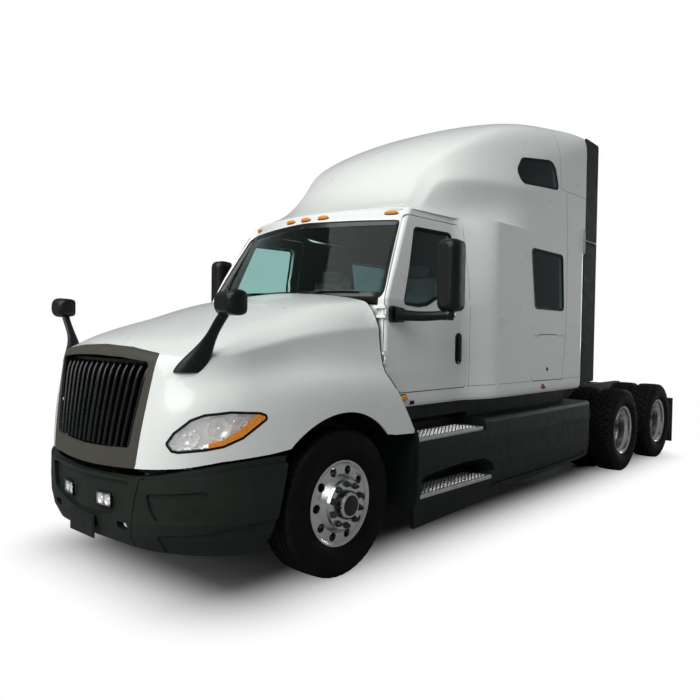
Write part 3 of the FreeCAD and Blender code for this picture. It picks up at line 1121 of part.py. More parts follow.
def rear_wheel(y):
    xi, xo = REAR_X - DISC_OFFSET, REAR_X + DISC_OFFSET
    ri, ro = turned_x(RIM, xi, 1, y), turned_x(RIM, xo, -1, y)
    hl = Part.makeCompound(holes(xi + 60, xo - 60, 234, 10, 31, y))
    di, do = turned_x(DISC, xi, 1, y).cut(hl), turned_x(DISC, xo, -1, y).cut(hl)
    B = REAR_SPINDLE_R + RUN
    hub = turned_x([(-210, B), (-210, 100), (-30, 110), (-22, 158), (-22, 170), (0, 170), (30, 160), (30, 110),
                    (95, 100), (110, 84), (110, 0), (80, 0), (80, B)], REAR_X, 1, y)
    drum = turned_x([(-250, 200), (-250, 224), (-90, 224), (-60, 150), (-60, 100), (-80, 100), (-84, 150),
                     (-100, 200)], REAR_X, 1, y)
    return fuse([ri, ro, di, do, hub, drum])


TYRE_SIDE = [(109, BEAD_R + SEAT), (111.7, 299), (137, 340), (TYRE_HALF, 396), (137, 468), (120, 506), (70, TYRE_R)]
TYRE = [(-w, r) for w, r in TYRE_SIDE] + TYRE_SIDE[::-1]
fwheel = front_wheel()
ftyre = turned_x(TYRE, FRONT_X)
put("wheel_front_left", fwheel)
put("wheel_front_right", flip(fwheel))
put("tyre_front_left", ftyre)
put("tyre_front_right", flip(ftyre))
for y, nm in zip(REAR_Y, ("mid", "rear")):
    rw = rear_wheel(y)
    t2 = [turned_x(TYRE, REAR_X + k * DISC_OFFSET, 1, y) for k in (-1, 1)]
    tw = Part.makeCompound(t2)
    put("wheel_%s_left" % nm, rw)
    put("wheel_%s_right" % nm, flip(rw))
    put("tyres_%s_left" % nm, tw)
    put("tyres_%s_right" % nm, flip(tw))
print(len(EXPORTED), "parts")
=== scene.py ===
import math
import bpy
import bmesh
from mathutils import Vector, Matrix
from mathutils.bvhtree import BVHTree


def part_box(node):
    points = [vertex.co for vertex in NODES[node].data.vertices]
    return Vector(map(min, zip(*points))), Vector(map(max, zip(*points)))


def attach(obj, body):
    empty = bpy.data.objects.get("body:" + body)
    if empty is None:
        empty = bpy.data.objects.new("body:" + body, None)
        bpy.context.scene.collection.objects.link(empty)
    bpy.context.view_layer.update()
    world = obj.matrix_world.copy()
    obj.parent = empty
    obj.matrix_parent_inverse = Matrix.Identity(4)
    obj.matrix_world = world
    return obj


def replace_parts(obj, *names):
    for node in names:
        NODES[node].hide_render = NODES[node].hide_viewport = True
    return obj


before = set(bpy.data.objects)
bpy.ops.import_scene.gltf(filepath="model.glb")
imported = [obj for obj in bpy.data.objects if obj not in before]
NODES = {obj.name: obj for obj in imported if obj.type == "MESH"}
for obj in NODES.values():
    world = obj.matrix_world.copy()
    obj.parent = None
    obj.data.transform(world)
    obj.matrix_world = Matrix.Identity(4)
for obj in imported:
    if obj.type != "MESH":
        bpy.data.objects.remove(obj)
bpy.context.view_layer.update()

# A white bonneted highway tractor with a high-roof sleeper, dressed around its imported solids.
# Heights are from the ground; lengths are measured from the front axle and moved by FRONT.
SIDES = ((1, "left"), (-1, "right"))


def span(node, axis):
    """Middle and length of a solid's box along an axis."""
    low, high = [getattr(v, axis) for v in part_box(node)]
    return (low + high) / 2, high - low


FRONT, _ = span("tyre_front_left", "y")
HUB, TYRE_D = span("tyre_front_left", "z")
TYRE_R = TYRE_D / 2
TYRE_HALF_W = 0.144
FRONT_X, _ = span("tyre_front_left", "x")
REARS = {nm: span("tyres_%s_left" % nm, "y")[0] - FRONT for nm in ("mid", "rear")}
REAR_X, TWIN_W = span("tyres_rear_left", "x")
TWIN = TWIN_W / 2 - TYRE_HALF_W
BELT = 1.958                    # the windows' lower line
HEADER = BELT + 0.682           # the windscreen's upper line
SEAM = HEADER + 0.072           # where the roof cap sits on the sleeper


def at(x, y, z):
    """A point given from the front axle, in the frame's own metres."""
    return Vector((x, y + FRONT, z))


# materials
class Nodes:
    """A node tree: each node's inputs are given as numbers, colours or other nodes' outputs."""

    def __init__(self, owner):
        owner.use_nodes = True
        self.tree = owner.node_tree

    def feed(self, node, inputs):
        for key, value in inputs.items():
            if isinstance(value, bpy.types.NodeSocket):
                self.tree.links.new(value, node.inputs[key])
            else:
                node.inputs[key].default_value = value

    def add(self, kind, out, inputs=None, **settings):
        node = self.tree.nodes.new("ShaderNode" + kind)
        for key, value in settings.items():
            setattr(node, key, value)
        self.feed(node, inputs or {})
        return node.outputs[out]

    def maths(self, operation, x, y=0.0):
        return self.add("Math", 0, {0: x, 1: y}, operation=operation)

    def noise(self, place, scale, detail=4.0, rough=0.55):
        return self.add("TexNoise", "Fac", {"Vector": place, "Scale": scale, "Detail": detail,
                                            "Roughness": rough})

    def ranged(self, value, a0, a1, b0, b1):
        return self.add("MapRange", "Result", {"Value": value, "From Min": a0, "From Max": a1, "To Min": b0,
                                               "To Max": b1})

    def mixed(self, share, c0, c1):
        return self.add("Mix", 2, {"Factor": share, 6: c0, 7: c1}, data_type="RGBA")


DUST = (0.3, 0.28, 0.24, 1.0)


def material(name, color, rough, vary, grain=None, metal=0.0, coat=0.0, dust=0.0, transmission=0.0, ior=1.5,
             rough_vary=0.08, weave=None, aniso=0.0, spec=0.5, sheen=0.0, alpha=1.0):
    """vary holds the blotches' (scale, share), grain the bump's (scale, strength, depth)."""
    m = bpy.data.materials.new(name)
    t = Nodes(m)
    shader = t.tree.nodes["Principled BSDF"]
    place = t.add("TexCoord", "Object")
    light, deep = [tuple(min(1.0, v * k) for v in color) + (1.0,) for k in (1 + vary[1], 1 - vary[1])]
    base = t.mixed(t.ranged(t.noise(place, vary[0]), 0.3, 0.7, 0, 1), deep, light)
    if dust:
        height = t.add("SeparateXYZ", "Z", {0: place})
        patches = t.ranged(t.noise(place, 7.0, 6.0, 0.7), 0.3, 0.75, 0.25, 1.0)
        base = t.mixed(t.maths("MULTIPLY", t.ranged(height, 1.5, 0.3, 0.0, dust), patches), base, DUST)
    t.feed(shader, {
        "Base Color": base, "Metallic": metal, "IOR": ior, "Coat Weight": coat, "Coat Roughness": 0.05,
        "Transmission Weight": transmission, "Specular IOR Level": spec, "Anisotropic": aniso, "Alpha": alpha,
        "Sheen Weight": sheen, "Sheen Roughness": 0.5,
        "Roughness": t.ranged(t.noise(place, vary[0] * 4.1, 5.0), 0.3, 0.7, max(0.02, rough - rough_vary),
                              rough + rough_vary)})
    if weave:
        wave = {"Vector": place, "Scale": weave, "Distortion": 0.4}
        threads = [t.add("TexWave", "Fac", wave, bands_direction=d) for d in ("X", "Z")]
        relief, strength, depth = t.maths("MULTIPLY", *threads), 0.5, 0.0012
    elif grain:
        relief, strength, depth = t.noise(place, grain[0], 3.0), grain[1], grain[2]
    else:
        return m
    bump = t.add("Bump", "Normal", {"Strength": strength, "Distance": depth, "Height": relief})
    t.feed(shader, {"Normal": bump})
    return m


CLEAR = {"transmission": 1.0, "rough_vary": 0.004}
M = {
    "white": material("body_white", (0.8, 0.83, 0.81), 0.3, (1.3, 0.015), (420, 0.04, 0.0003), coat=0.6,
                      rough_vary=0.03, dust=0.1),
    "charcoal": material("charcoal_plastic", (0.012, 0.0175, 0.014), 0.52, (5, 0.16), (900, 0.3, 0.0006),
                         spec=0.2),
    "fairing": material("fairing_plastic", (0.005, 0.01, 0.0095), 0.46, (3, 0.18), (700, 0.22, 0.0006),
                        spec=0.2),
    "surround": material("surround_satin", (0.058, 0.057, 0.046), 0.5, (7, 0.06), (1400, 0.1, 0.0003),
                         spec=0.22),
    "black": material("black_plastic", (0.0045, 0.005, 0.005), 0.42, (9, 0.22), (1100, 0.25, 0.0004),
                      spec=0.22),
    "gloss": material("black_gloss", (0.005, 0.006, 0.006), 0.24, (9, 0.15), (500, 0.03, 0.0003), coat=0.1,
                      spec=0.35),
    "extender": material("extender_rubber", (0.0045, 0.008, 0.0075), 0.6, (4, 0.25), (300, 0.3, 0.0008),
                         spec=0.18),
    "mirror_case": material("mirror_housing", (0.005, 0.007, 0.0065), 0.4, (8, 0.2), (1300, 0.35, 0.0005),
                            spec=0.3),
    "seal": material("rubber_seal", (0.004, 0.004, 0.004), 0.6, (20, 0.3), (600, 0.2, 0.0004), spec=0.2),
    # painted shade: grey strips stand in for the shade in the panels' gaps
    "seam": material("seam_shadow", (0.16, 0.17, 0.16), 0.7, (12, 0.15), (500, 0.2, 0.0003), spec=0.2),
    "tyre": material("tyre_rubber", (0.003, 0.0031, 0.0031), 0.7, (14, 0.28), (420, 0.45, 0.001), dust=0.015,
                     spec=0.1),
    "flap": material("flap_rubber", (0.006, 0.0065, 0.006), 0.62, (6, 0.3), (160, 0.35, 0.0016), dust=0.08,
                     spec=0.18),
    "frame": material("chassis_black", (0.0085, 0.009, 0.0095), 0.48, (6, 0.25), (120, 0.3, 0.0012),
                      metal=0.1, dust=0.08, spec=0.3),
    "iron": material("cast_iron", (0.04, 0.038, 0.036), 0.55, (9, 0.3), (90, 0.5, 0.002), metal=0.6,
                     dust=0.12),
    "engine": material("engine_paint", (0.055, 0.058, 0.06), 0.45, (8, 0.25), (110, 0.45, 0.0016), metal=0.2,
                       dust=0.1),
    "steel": material("zinc_steel", (0.36, 0.36, 0.35), 0.36, (18, 0.15), (300, 0.15, 0.0006), metal=0.9),
    "nut": material("dark_nut", (0.05, 0.053, 0.05), 0.42, (40, 0.3), (260, 0.2, 0.0006), metal=0.7),
    "wheel": material("polished_alloy", (0.66, 0.68, 0.66), 0.22, (10, 0.05), (240, 0.05, 0.0003), metal=1.0,
                      rough_vary=0.05, aniso=0.3),
    "tread": material("tread_plate", (0.56, 0.57, 0.55), 0.38, (20, 0.14), (420, 0.3, 0.0008), metal=0.75,
                      dust=0.02),
    "glass": material("tinted_glass", (0.52, 0.72, 0.69), 0.02, (2, 0.02), ior=1.15, **CLEAR),
    "side_glass": material("side_glass", (0.48, 0.64, 0.63), 0.02, (2, 0.02), ior=1.18, **CLEAR),
    "dark_glass": material("privacy_glass", (0.07, 0.12, 0.13), 0.03, (2, 0.03), transmission=1.0,
                           rough_vary=0.005, ior=1.28),
    "lens": material("clear_lens", (0.96, 0.97, 0.97), 0.03, (3, 0.01), rough_vary=0.005, alpha=0.16,
                     coat=0.3),
    "amber": material("amber_lens", (0.9, 0.3, 0.03), 0.22, (60, 0.18), (150, 0.25, 0.0012), coat=0.5,
                      spec=0.3),
    "red": material("red_lens", (0.42, 0.016, 0.01), 0.22, (60, 0.18), (150, 0.25, 0.0012), coat=0.5,
                    spec=0.3),
    "chrome": material("reflector", (0.93, 0.93, 0.92), 0.22, (30, 0.04), (60, 0.1, 0.001), metal=0.72,
                       rough_vary=0.04),
    "mirror": material("mirror_glass", (0.8, 0.83, 0.84), 0.03, (3, 0.02), metal=1.0, rough_vary=0.01),
    "cabin": material("cabin_plastic", (0.03, 0.031, 0.029), 0.58, (6, 0.1), (800, 0.4, 0.0006), spec=0.3),
    "lining": material("cabin_lining", (0.04, 0.041, 0.038), 0.85, (5, 0.08), (500, 0.5, 0.0008), spec=0.2),
    "under": material("moulded_underside", (0.03, 0.031, 0.03), 0.75, (6, 0.2), (260, 0.5, 0.0015), spec=0.2,
                      dust=0.1),
    "fabric": material("seat_cloth", (0.045, 0.047, 0.052), 0.88, (30, 0.22), weave=260, sheen=0.25),
    "bolster": material("seat_vinyl", (0.028, 0.028, 0.03), 0.5, (18, 0.15), (520, 0.5, 0.0008), sheen=0.1,
                        spec=0.35),
    "mattress": material("mattress_cloth", (0.3, 0.31, 0.33), 0.9, (16, 0.08), weave=200, sheen=0.2),
    "grey": material("grey_fitting", (0.36, 0.37, 0.34), 0.45, (30, 0.15), (400, 0.2, 0.0005)),
    "screen": material("display_glass", (0.006, 0.008, 0.01), 0.12, (30, 0.1), coat=0.3),
    "dial": material("dial_face", (0.55, 0.55, 0.52), 0.5, (60, 0.1), (700, 0.1, 0.0002)),
    "plank": material("deck_plate", (0.42, 0.43, 0.42), 0.36, (9, 0.14), (200, 0.25, 0.0008), metal=0.9,
                      dust=0.1),
    "core": material("cooler_core", (0.1, 0.1, 0.1), 0.5, (20, 0.2), (500, 0.4, 0.001), metal=0.7),
    "hose": material("rubber_hose", (0.012, 0.012, 0.013), 0.5, (20, 0.2), (300, 0.4, 0.0008), spec=0.3),
}


# mesh helpers
def mm(*v):
    """Pairs in metres from a run of millimetres."""
    return [(v[i] / 1000, v[i + 1] / 1000) for i in range(0, len(v), 2)]


def circle(n):
    """Angles of n points evenly round a turn."""
    return [2 * math.pi * i / n for i in range(n)]


def linked(name, verts, faces):
    """A new object from vertices and faces, its doubles merged and its normals outwards."""
    bm = bmesh.new()
    vs = [bm.verts.new(v) for v in verts]
    for f in faces:
        if len(set(f)) > 2:
            try:
                bm.faces.new([vs[i] for i in f])
            except ValueError:
                pass
    bmesh.ops.remove_doubles(bm, verts=bm.verts, dist=1e-5)
    bmesh.ops.delete(bm, geom=[v for v in bm.verts if not v.link_faces], context="VERTS")
    bmesh.ops.recalc_face_normals(bm, faces=bm.faces)
    me = bpy.data.meshes.new(name)
    bm.to_mesh(me)
    bm.free()
    ob = bpy.data.objects.new(name, me)
    bpy.context.scene.collection.objects.link(ob)
    return ob


def smooth(me):
    for face in me.polygons:
        face.use_smooth = True


def add(name, verts, faces, mat, body, angle=35):
    ob = linked(name, verts, faces)
    smooth(ob.data)
    ob.data.set_sharp_from_angle(angle=math.radians(angle))
    ob.data.materials.append(M[mat])
    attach(ob, body)
    return ob


class Shape:
    """Vertices and faces gathered before they become one piece."""

    def __init__(self):
        self.v, self.f = [], []

    def rings(self, rings, caps=True, loop=False):
        """Skins a run of equal closed rings of points."""
        m, start = len(rings[0]), len(self.v)
        faces = []
        for i in range(len(rings) if loop else len(rings) - 1):
            j = (i + 1) % len(rings)
            for k in range(m):
                l = (k + 1) % m
                faces.append([i * m + k, i * m + l, j * m + l, j * m + k])
        if caps and not loop:
            faces.append(list(range(m))[::-1])
            faces.append([(len(rings) - 1) * m + k for k in range(m)])
        self.v += [Vector(p) for r in rings for p in r]
        self.f += [[i + start for i in f] for f in faces]
        return self

    def block(self, c, size, r=0.004, rot=None):
        """Box with all its edges softened by r."""
        hx, hy, hz = [s / 2 for s in size]
        r = min(r, hx * 0.98, hy * 0.98, hz * 0.98)
        rot, c = rot or Matrix.Identity(3), Vector(c)
        rings = []
        for z, k in ((-hz, r), (-hz + r * 0.3, r * 0.3), (-hz + r, 0), (hz - r, 0), (hz - r * 0.3, r * 0.3),
                     (hz, r)):
            ring = []
            for sx, sy, a0 in ((1, 1, 0), (-1, 1, 90), (-1, -1, 180), (1, -1, 270)):
                for d in (0, 30, 60, 90):
                    t = math.radians(a0 + d)
                    ring.append(rot @ Vector((sx * (hx - r) + (r - k) * math.cos(t),
                                              sy * (hy - r) + (r - k) * math.sin(t), z)) + c)
            rings.append(ring)
        return self.rings(rings)

    def rod(self, p, q, r, n=16, r2=None, bevel=0.0):
        """Round rod from p to q, its ends chamfered by bevel."""
        p, q = Vector(p), Vector(q)
        t = (q - p).normalized()
        u = t.orthogonal().normalized()
        w = t.cross(u)
        r2 = r if r2 is None else r2
        long = (q - p).length
        steps = [(0, r), (long, r2)]
        if bevel:
            steps = [(0, r - bevel), (bevel, r), (long - bevel, r2), (long, r2 - bevel)]
        return self.rings([[p + t * d + (u * math.cos(g) + w * math.sin(g)) * radius for g in circle(n)]
                           for d, radius in steps])

    def turned(self, profile, c, axis=(1, 0, 0), n=48):
        """(along, radius) profile turned about an axis through c."""
        t = Vector(axis).normalized()
        u = Vector((0, 0, 1)) if abs(t.z) < 0.9 else Vector((0, 1, 0))
        u = (u - t * u.dot(t)).normalized()
        w = t.cross(u)
        c = Vector(c)
        rings = []
        for k in range(n):
            g = math.radians(360.0 * k / n)
            rings.append([c + t * d + (u * math.cos(g) + w * math.sin(g)) * r for d, r in profile])
        return self.rings(rings, loop=True)

    def sweep(self, path, normals, section, closed=False):
        """section holds (inward, outward) offsets: inward is normal x tangent."""
        n = len(path)
        rings = []
        for i in range(n):
            before = path[(i - 1) % n] if closed or i else path[0]
            after = path[(i + 1) % n] if closed or i < n - 1 else path[-1]
            t = (after - before).normalized()
            up = (normals[i] - t * normals[i].dot(t)).normalized()
            inward = up.cross(t)
            rings.append([path[i] + inward * p + up * q for p, q in section])
        return self.rings(rings, loop=closed)

    def made(self, name, mat, angle, body="chassis", slot=None):
        return add(name, self.v, self.f, mat, body, angle)


def smooth_path(pts, per=8):
    """Catmull-Rom points through pts."""
    pts = [Vector(p) for p in pts]
    q = [pts[0] * 2 - pts[1]] + pts + [pts[-1] * 2 - pts[-2]]
    out = []
    for i in range(1, len(q) - 2):
        for k in range(per):
            t = k / per
            a0, a1, a2, a3 = q[i - 1], q[i], q[i + 1], q[i + 2]
            out.append(0.5 * ((2 * a1) + (a2 - a0) * t + (2 * a0 - 5 * a1 + 4 * a2 - a3) * t * t
                              + (3 * a1 - a0 - 3 * a2 + a3) * t ** 3))
    return out + [pts[-1]]


def outline(pts, r, step=0.03, arc=5):
    """2-D outline with rounded corners, its straights divided."""
    n = len(pts)
    rs = r if isinstance(r, (list, tuple)) else [r] * n
    corner = []
    for i in range(n):
        p0, p1, p2 = Vector(pts[i - 1]), Vector(pts[i]), Vector(pts[(i + 1) % n])
        back, on = (p0 - p1), (p2 - p1)
        la, lb = back.length, on.length
        back.normalize()
        on.normalize()
        half = back.angle(on) / 2
        if rs[i] <= 0 or half > math.pi / 2 - 0.03:
            corner.append([p1])
            continue
        t = min(rs[i] / math.tan(half), 0.46 * la, 0.46 * lb)
        rad = t * math.tan(half)
        c = p1 + (back + on).normalized() * (rad / math.sin(half))
        s, e = p1 + back * t - c, p1 + on * t - c
        g0, g1 = math.atan2(s.y, s.x), math.atan2(e.y, e.x)
        dg = (g1 - g0 + math.pi) % (2 * math.pi) - math.pi
        corner.append([c + Vector((math.cos(g0 + dg * k / arc), math.sin(g0 + dg * k / arc))) * rad
                       for k in range(arc + 1)])
    out = []
    for i in range(n):
        out += corner[i]
        p, q = corner[i][-1], corner[(i + 1) % n][0]
        m = max(1, int((q - p).length / step))
        out += [p.lerp(q, k / m) for k in range(1, m)]
    return out


def rounded(w, h, r, step=0.03, arc=5, c=(0, 0)):
    """Rounded rectangle of half sizes w and h about c."""
    x, y = c
    return outline([(x - w, y - h), (x + w, y - h), (x + w, y + h), (x - w, y + h)], r, step, arc)


def moved(pts, d):
    """2-D outline moved outwards by d."""
    n = len(pts)
    area = sum(pts[i - 1][0] * pts[i][1] - pts[i][0] * pts[i - 1][1] for i in range(n))
    sign = 1.0 if area > 0 else -1.0
    out = []
    for i in range(n):
        p0, p1, p2 = Vector(pts[i - 1]), Vector(pts[i]), Vector(pts[(i + 1) % n])
        back, on = (p1 - p0).normalized(), (p2 - p1).normalized()
        na, nb = Vector((back.y, -back.x)) * sign, Vector((on.y, -on.x)) * sign
        k = d / max(0.3, 1 + na.dot(nb))
        out.append((p1.x + (na.x + nb.x) * k, p1.y + (na.y + nb.y) * k))
    return out


class Skin:
    """Finds the surface of some solids along a ray."""

    def __init__(self, *names):
        vs, fs = [], []
        for nm in names:
            me, n = NODES[nm].data, len(vs)
            vs += [v.co.copy() for v in me.vertices]
            fs += [[i + n for i in p.vertices] for p in me.polygons]
        self.tree = BVHTree.FromPolygons(vs, fs)

    def hit(self, start, along):
        along = Vector(along).normalized()
        p, n, _, _ = self.tree.ray_cast(Vector(start), along)
        if p is None:
            return None, None
        return p, (n if n.dot(along) < 0 else -n)

    def side(self, y, z, s=1):
        return self.hit(at(2.4 * s, y, z), (-s, 0, 0))

    def front(self, x, z):
        return self.hit(at(x, -3.0, z), (0, 1, 0))

    def rear(self, x, z, y=6.5):
        return self.hit(at(x, y, z), (0, -1, 0))


def even(normals, k=2):
    """Normals averaged along a run."""
    last = len(normals) - 1
    return [sum((normals[min(max(i + j, 0), last)] for j in range(-k, k + 1)), Vector((0, 0, 0))).normalized()
            for i in range(last + 1)]


def traced(points, cast):
    """Points and normals found on a surface; missed points are skipped."""
    found = [cast(*q) for q in points]
    found = [(p, n) for p, n in found if p is not None]
    return [p for p, _ in found], even([n for _, n in found])


def facing(n, up=(0, 0, 1)):
    """Axes across, up and outwards for a piece that lies on a surface."""
    n = Vector(n).normalized()
    x = Vector(up).cross(n).normalized()
    return Matrix((x, n.cross(x), n)).transposed()


def tilt(deg):
    return Matrix.Rotation(math.radians(deg), 3, "X")


class Spot:
    """A place on a surface: its point, its normal, and axes across, up and outwards."""

    def __init__(self, found):
        self.p, self.n = found
        self.rot = facing(self.n)

    def to(self, x, y, z=0.0):
        return self.p + self.rot @ Vector((x, y, z))

    def out(self, d):
        return self.p + self.n * d

    def frame(self, shape, ring, section):
        """A closed band along a flat outline."""
        shape.sweep([self.to(x, y) for x, y in ring], [self.n] * len(ring), section, True)

    def layers(self, shape, ring, narrow, steps):
        """A flat outline drawn in by q at height d, its length less than its width by narrow."""
        shape.rings([[self.to(x * q, y * (1 - (1 - q) * narrow), d) for x, y in ring] for q, d in steps])


def slab(shape, ring, y, near, far):
    """A flat outline across the tractor, given a thickness."""
    shape.rings([[at(x, y + d, z) for x, z in ring] for d in (near, far)])


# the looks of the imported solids, where a star stands for left and right
LOOKS = (
    ("white under", "hood_shell"), ("white lining black", "cab_shell sleeper_shell door_*"),
    ("white lining", "roof_cap luggage_door_*"), ("surround", "grille_surround"), ("charcoal", "bumper"),
    ("fairing", "fairing_*"), ("lens", "headlamp_lenses fog_lamps"), ("amber", "turn_lamps marker_lamps"),
    ("flap", "fender_liners mud_flaps"), ("mirror_case", "hood_mirrors mirror_*"), ("glass", "windshield"),
    ("side_glass", "door_glass_*"), ("dark_glass", "sleeper_glass"), ("frame", "frame fifth_wheel_base"),
    ("iron", "suspension front_axle rear_axles driveshaft tie_rod knuckle_* fifth_wheel_plate"),
    ("engine", "engine gearbox"), ("core", "radiator"), ("plank", "fuel_tanks"), ("red", "tail_lamps"),
    ("extender", "side_extenders"), ("cabin", "dashboard seats bunk"), ("gloss", "steering_wheel"),
    ("tread", "steps"),
    ("black", "grille"), ("chrome", "headlamps"), ("wheel", "wheel_front_* wheel_mid_* wheel_rear_*"),
    ("tyre", "tyre_front_* tyres_mid_* tyres_rear_*"))
SLIVER = 0.0006                 # faces thinner than this share of their length are slivers


def named(text):
    both = ("left", "right")
    return [nm.replace("*", side) for nm in text.split() for side in (both if "*" in nm else both[:1])]


def soften(ob, angle=32):
    """Smooth shading with sharp edges, where slivers of the mesh neither count nor show."""
    me = ob.data
    bm = bmesh.new()
    bm.from_mesh(me)
    limit = math.radians(angle)
    thin = {f.index for f in bm.faces if f.calc_area() < max(e.calc_length() for e in f.edges) * SLIVER}
    sharp = []
    for e in bm.edges:
        pair = e.link_faces
        if len(pair) == 2:
            sharp.append(not thin & {f.index for f in pair} and e.calc_face_angle(0.0) > limit)
        else:
            sharp.append(len(pair) > 2)
    bm.free()
    smooth(me)
    edges = me.attributes.get("sharp_edge") or me.attributes.new("sharp_edge", "BOOLEAN", "EDGE")
    edges.data.foreach_set("value", sharp)
    w = ob.modifiers.new("even_normals", "WEIGHTED_NORMAL")
    w.mode, w.weight, w.keep_sharp = "FACE_AREA_WITH_ANGLE", 60, True


def line(names, middle, least=0.25):
    """Gives the faces that look at a point inside, middle(face), the second material."""
    for nm in named(names):
        for face in NODES[nm].data.polygons:
            c = face.center
            if (middle(c) - c).normalized().dot(face.normal) > least:
                face.material_index = 1


def paint(names, index, chosen):
    """Gives the faces chosen by their distances across, along and up another material."""
    for nm in named(names):
        for face in NODES[nm].data.polygons:
            x, y, z = face.center
            if chosen(abs(x), y - FRONT, z):
                face.material_index = index


def clamp(v, low, high):
    return min(max(v, low), high)


for mats, names in LOOKS:
    for nm in named(names):
        NODES[nm].data.materials.clear()
        for m in mats.split():
            NODES[nm].data.materials.append(M[m])
        if not nm.startswith("tyre"):
            soften(NODES[nm])
for nm in named("windshield door_glass_* sleeper_glass headlamp_lenses fog_lamps"):
    NODES[nm].visible_shadow = False
line("cab_shell sleeper_shell roof_cap door_*",
     lambda c: Vector((0, clamp(c.y, FRONT + 1.35, FRONT + 3.5), clamp(c.z, 1.75, 3.2))))
line("luggage_door_*", lambda c: Vector((0, c.y, c.z)), 0.6)
line("hood_shell", lambda c: Vector((0, clamp(c.y, FRONT - 0.7, FRONT + 0.9), 0.95)))
# the doors' handles are black, the post and the hinges in the gap before the doors white
paint("door_*", 2, lambda x, y, z: 1.465 < y < 1.55 and BELT - 0.508 < z < BELT - 0.263 and x > 1.068)
paint("cab_shell", 0, lambda x, y, z: 1.035 < x < 1.086 and 0.44 < y < 0.6 and 1.2 < z < BELT - 0.005)
paint("cab_shell door_*", 0, lambda x, y, z: 1.015 < x < 1.125 and abs(y - 0.512) < 0.03 and (
    1.44 < z < 1.575 or 1.8 < z < 1.925))

# tyres: half widths and radii of the walls, and of each tread its steps, edges, grooves and depth
WALL = mm(109, 286, 111.7, 296.5, 121, 312, 131, 330, 138.5, 348, 142.5, 372, 143.8, 396, 142.5, 420,
          139.5, 444, 136.5, 462, 133.5, 476, 129, 492, 123.5, 503, 116, 509.5)
CROWN_W, CROWN_H = 0.11, 0.0045
TREADS = {
    "steer": (288, [0.11, 0.0865, 0.0845, 0.0755, 0.0735, 0.0445, 0.0425, 0.0325, 0.0305],
              [0, 0, 1, 1, 0, 0, 1, 1, 0], 0.0145),
    "drive": (216, [0.11, 0.094, 0.078, 0.066, 0.064, 0.055, 0.053, 0.036, 0.022, 0.02, 0.012, 0.01],
              [0, 0, 0, 0, 1, 1, 0, 0, 0, 1, 1, 0], 0.019)}


def tyre_rings(kind, x0):
    """One tyre as rings of points: ribs and grooves, or blocks, cut into its crown."""
    steps, edges, grooves, depth = TREADS[kind]
    drive = kind == "drive"
    half = [(w, r, "wall") for w, r in WALL]
    half += [(w, TYRE_R - CROWN_H * (w / CROWN_W) ** 2, m) for w, m in zip(edges, grooves)]
    full = [(-w, r, m) for w, r, m in half] + [(w, r, m) for w, r, m in reversed(half)]
    rings = []
    for i, g in enumerate(circle(steps)):
        odd, sixth = (i // 3) % 2, i % 6 == 0
        ring = []
        for w, r, m in full:
            rr, ww = r, w
            if m == "wall":
                if drive and 0.44 < r < 0.5 and not odd:
                    rr, ww = r - 0.001, w - math.copysign(0.004, w)
                elif not drive and 0.5 <= r and sixth:
                    rr = r - 0.004
            elif m:
                rr = r - depth
            elif drive:
                row = 0 if abs(w) > 0.06 else (1 if abs(w) > 0.015 else 2)
                if (i + row * 3 + (1 if w > 0 else 0)) % 6 == 0:
                    rr = r - depth * 0.85
            elif abs(w) > 0.08 and sixth:
                rr = r - 0.006
            if drive and not m and 0.01 < abs(w) < 0.07:
                ww = w + 0.0022 * (1 if odd else -1)
            ring.append(Vector((x0 + ww, math.sin(g) * rr, math.cos(g) * rr)))
        rings.append(ring)
    return rings


def tyre(name, kind, y, centres, body, node):
    """Tyre or pair of tyres, with two raised lines on each wall."""
    s = Shape()
    for x0 in centres:
        s.rings([[p + at(0, y, HUB) for p in ring] for ring in tyre_rings(kind, x0)], loop=True)
        for k in (-1, 1):
            for r, w, high in ((0.338, 0.1345, 0.0018), (0.452, 0.1378, 0.0015)):
                foot, top = k * (w - 0.004), k * (w + high)
                s.turned([(foot, r - 0.004), (top, r - 0.0025), (top, r + 0.0025), (foot, r + 0.004)],
                         at(x0, y, HUB), n=96)
    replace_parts(s.made(name, "tyre", 40, body, slot="tyre_rubber"), node)


for s, side in SIDES:
    tyre("tyre_steer_" + side, "steer", 0.0, [s * FRONT_X], "front_" + side, "tyre_front_" + side)
    for nm, y in REARS.items():
        tyre("tyres_drive_%s_%s" % (nm, side), "drive", y, [s * (REAR_X - TWIN), s * (REAR_X + TWIN)],
             "%s_%s" % (nm, side), "tyres_%s_%s" % (nm, side))

# wheel nuts, hubs and valves
NUTS, NUT_R, NUT_SIZE, NUT_H, STUD_R = 10, 0.1429, 0.01848, 0.026, 0.086


def on_wheel(x, y, r, g):
    """The point at radius r and angle g of the wheel whose axle is at y."""
    return at(x, y + r * math.sin(g), HUB + r * math.cos(g))


def nuts(body, s, x, y):
    """A ring of hexagon nuts on their flanges, with the studs' ends standing out."""
    shape, out = Shape(), Vector((s, 0, 0))
    for turn in circle(NUTS):
        c = on_wheel(s * x, y, NUT_R, turn)
        shape.turned(mm(0, 0, 0, 23.5, 3.5, 23.5, 6, 19, 6, 0), c, out, 16)
        for low, high, k in ((0.006, NUT_H - 0.003, 1.0), (NUT_H - 0.003, NUT_H, 0.86)):
            shape.rings([[c + out * d + Vector((0, math.sin(turn + g), math.cos(turn + g))) * (NUT_SIZE * q)
                          for g in circle(6)] for d, q in ((low, 1.0), (high, k))])
        shape.rod(c + out * NUT_H, c + out * (NUT_H + 0.011), 0.0098, 12, bevel=0.0015)
    shape.made("nuts_" + body, "nut", 30, body, slot="chassis_paint")


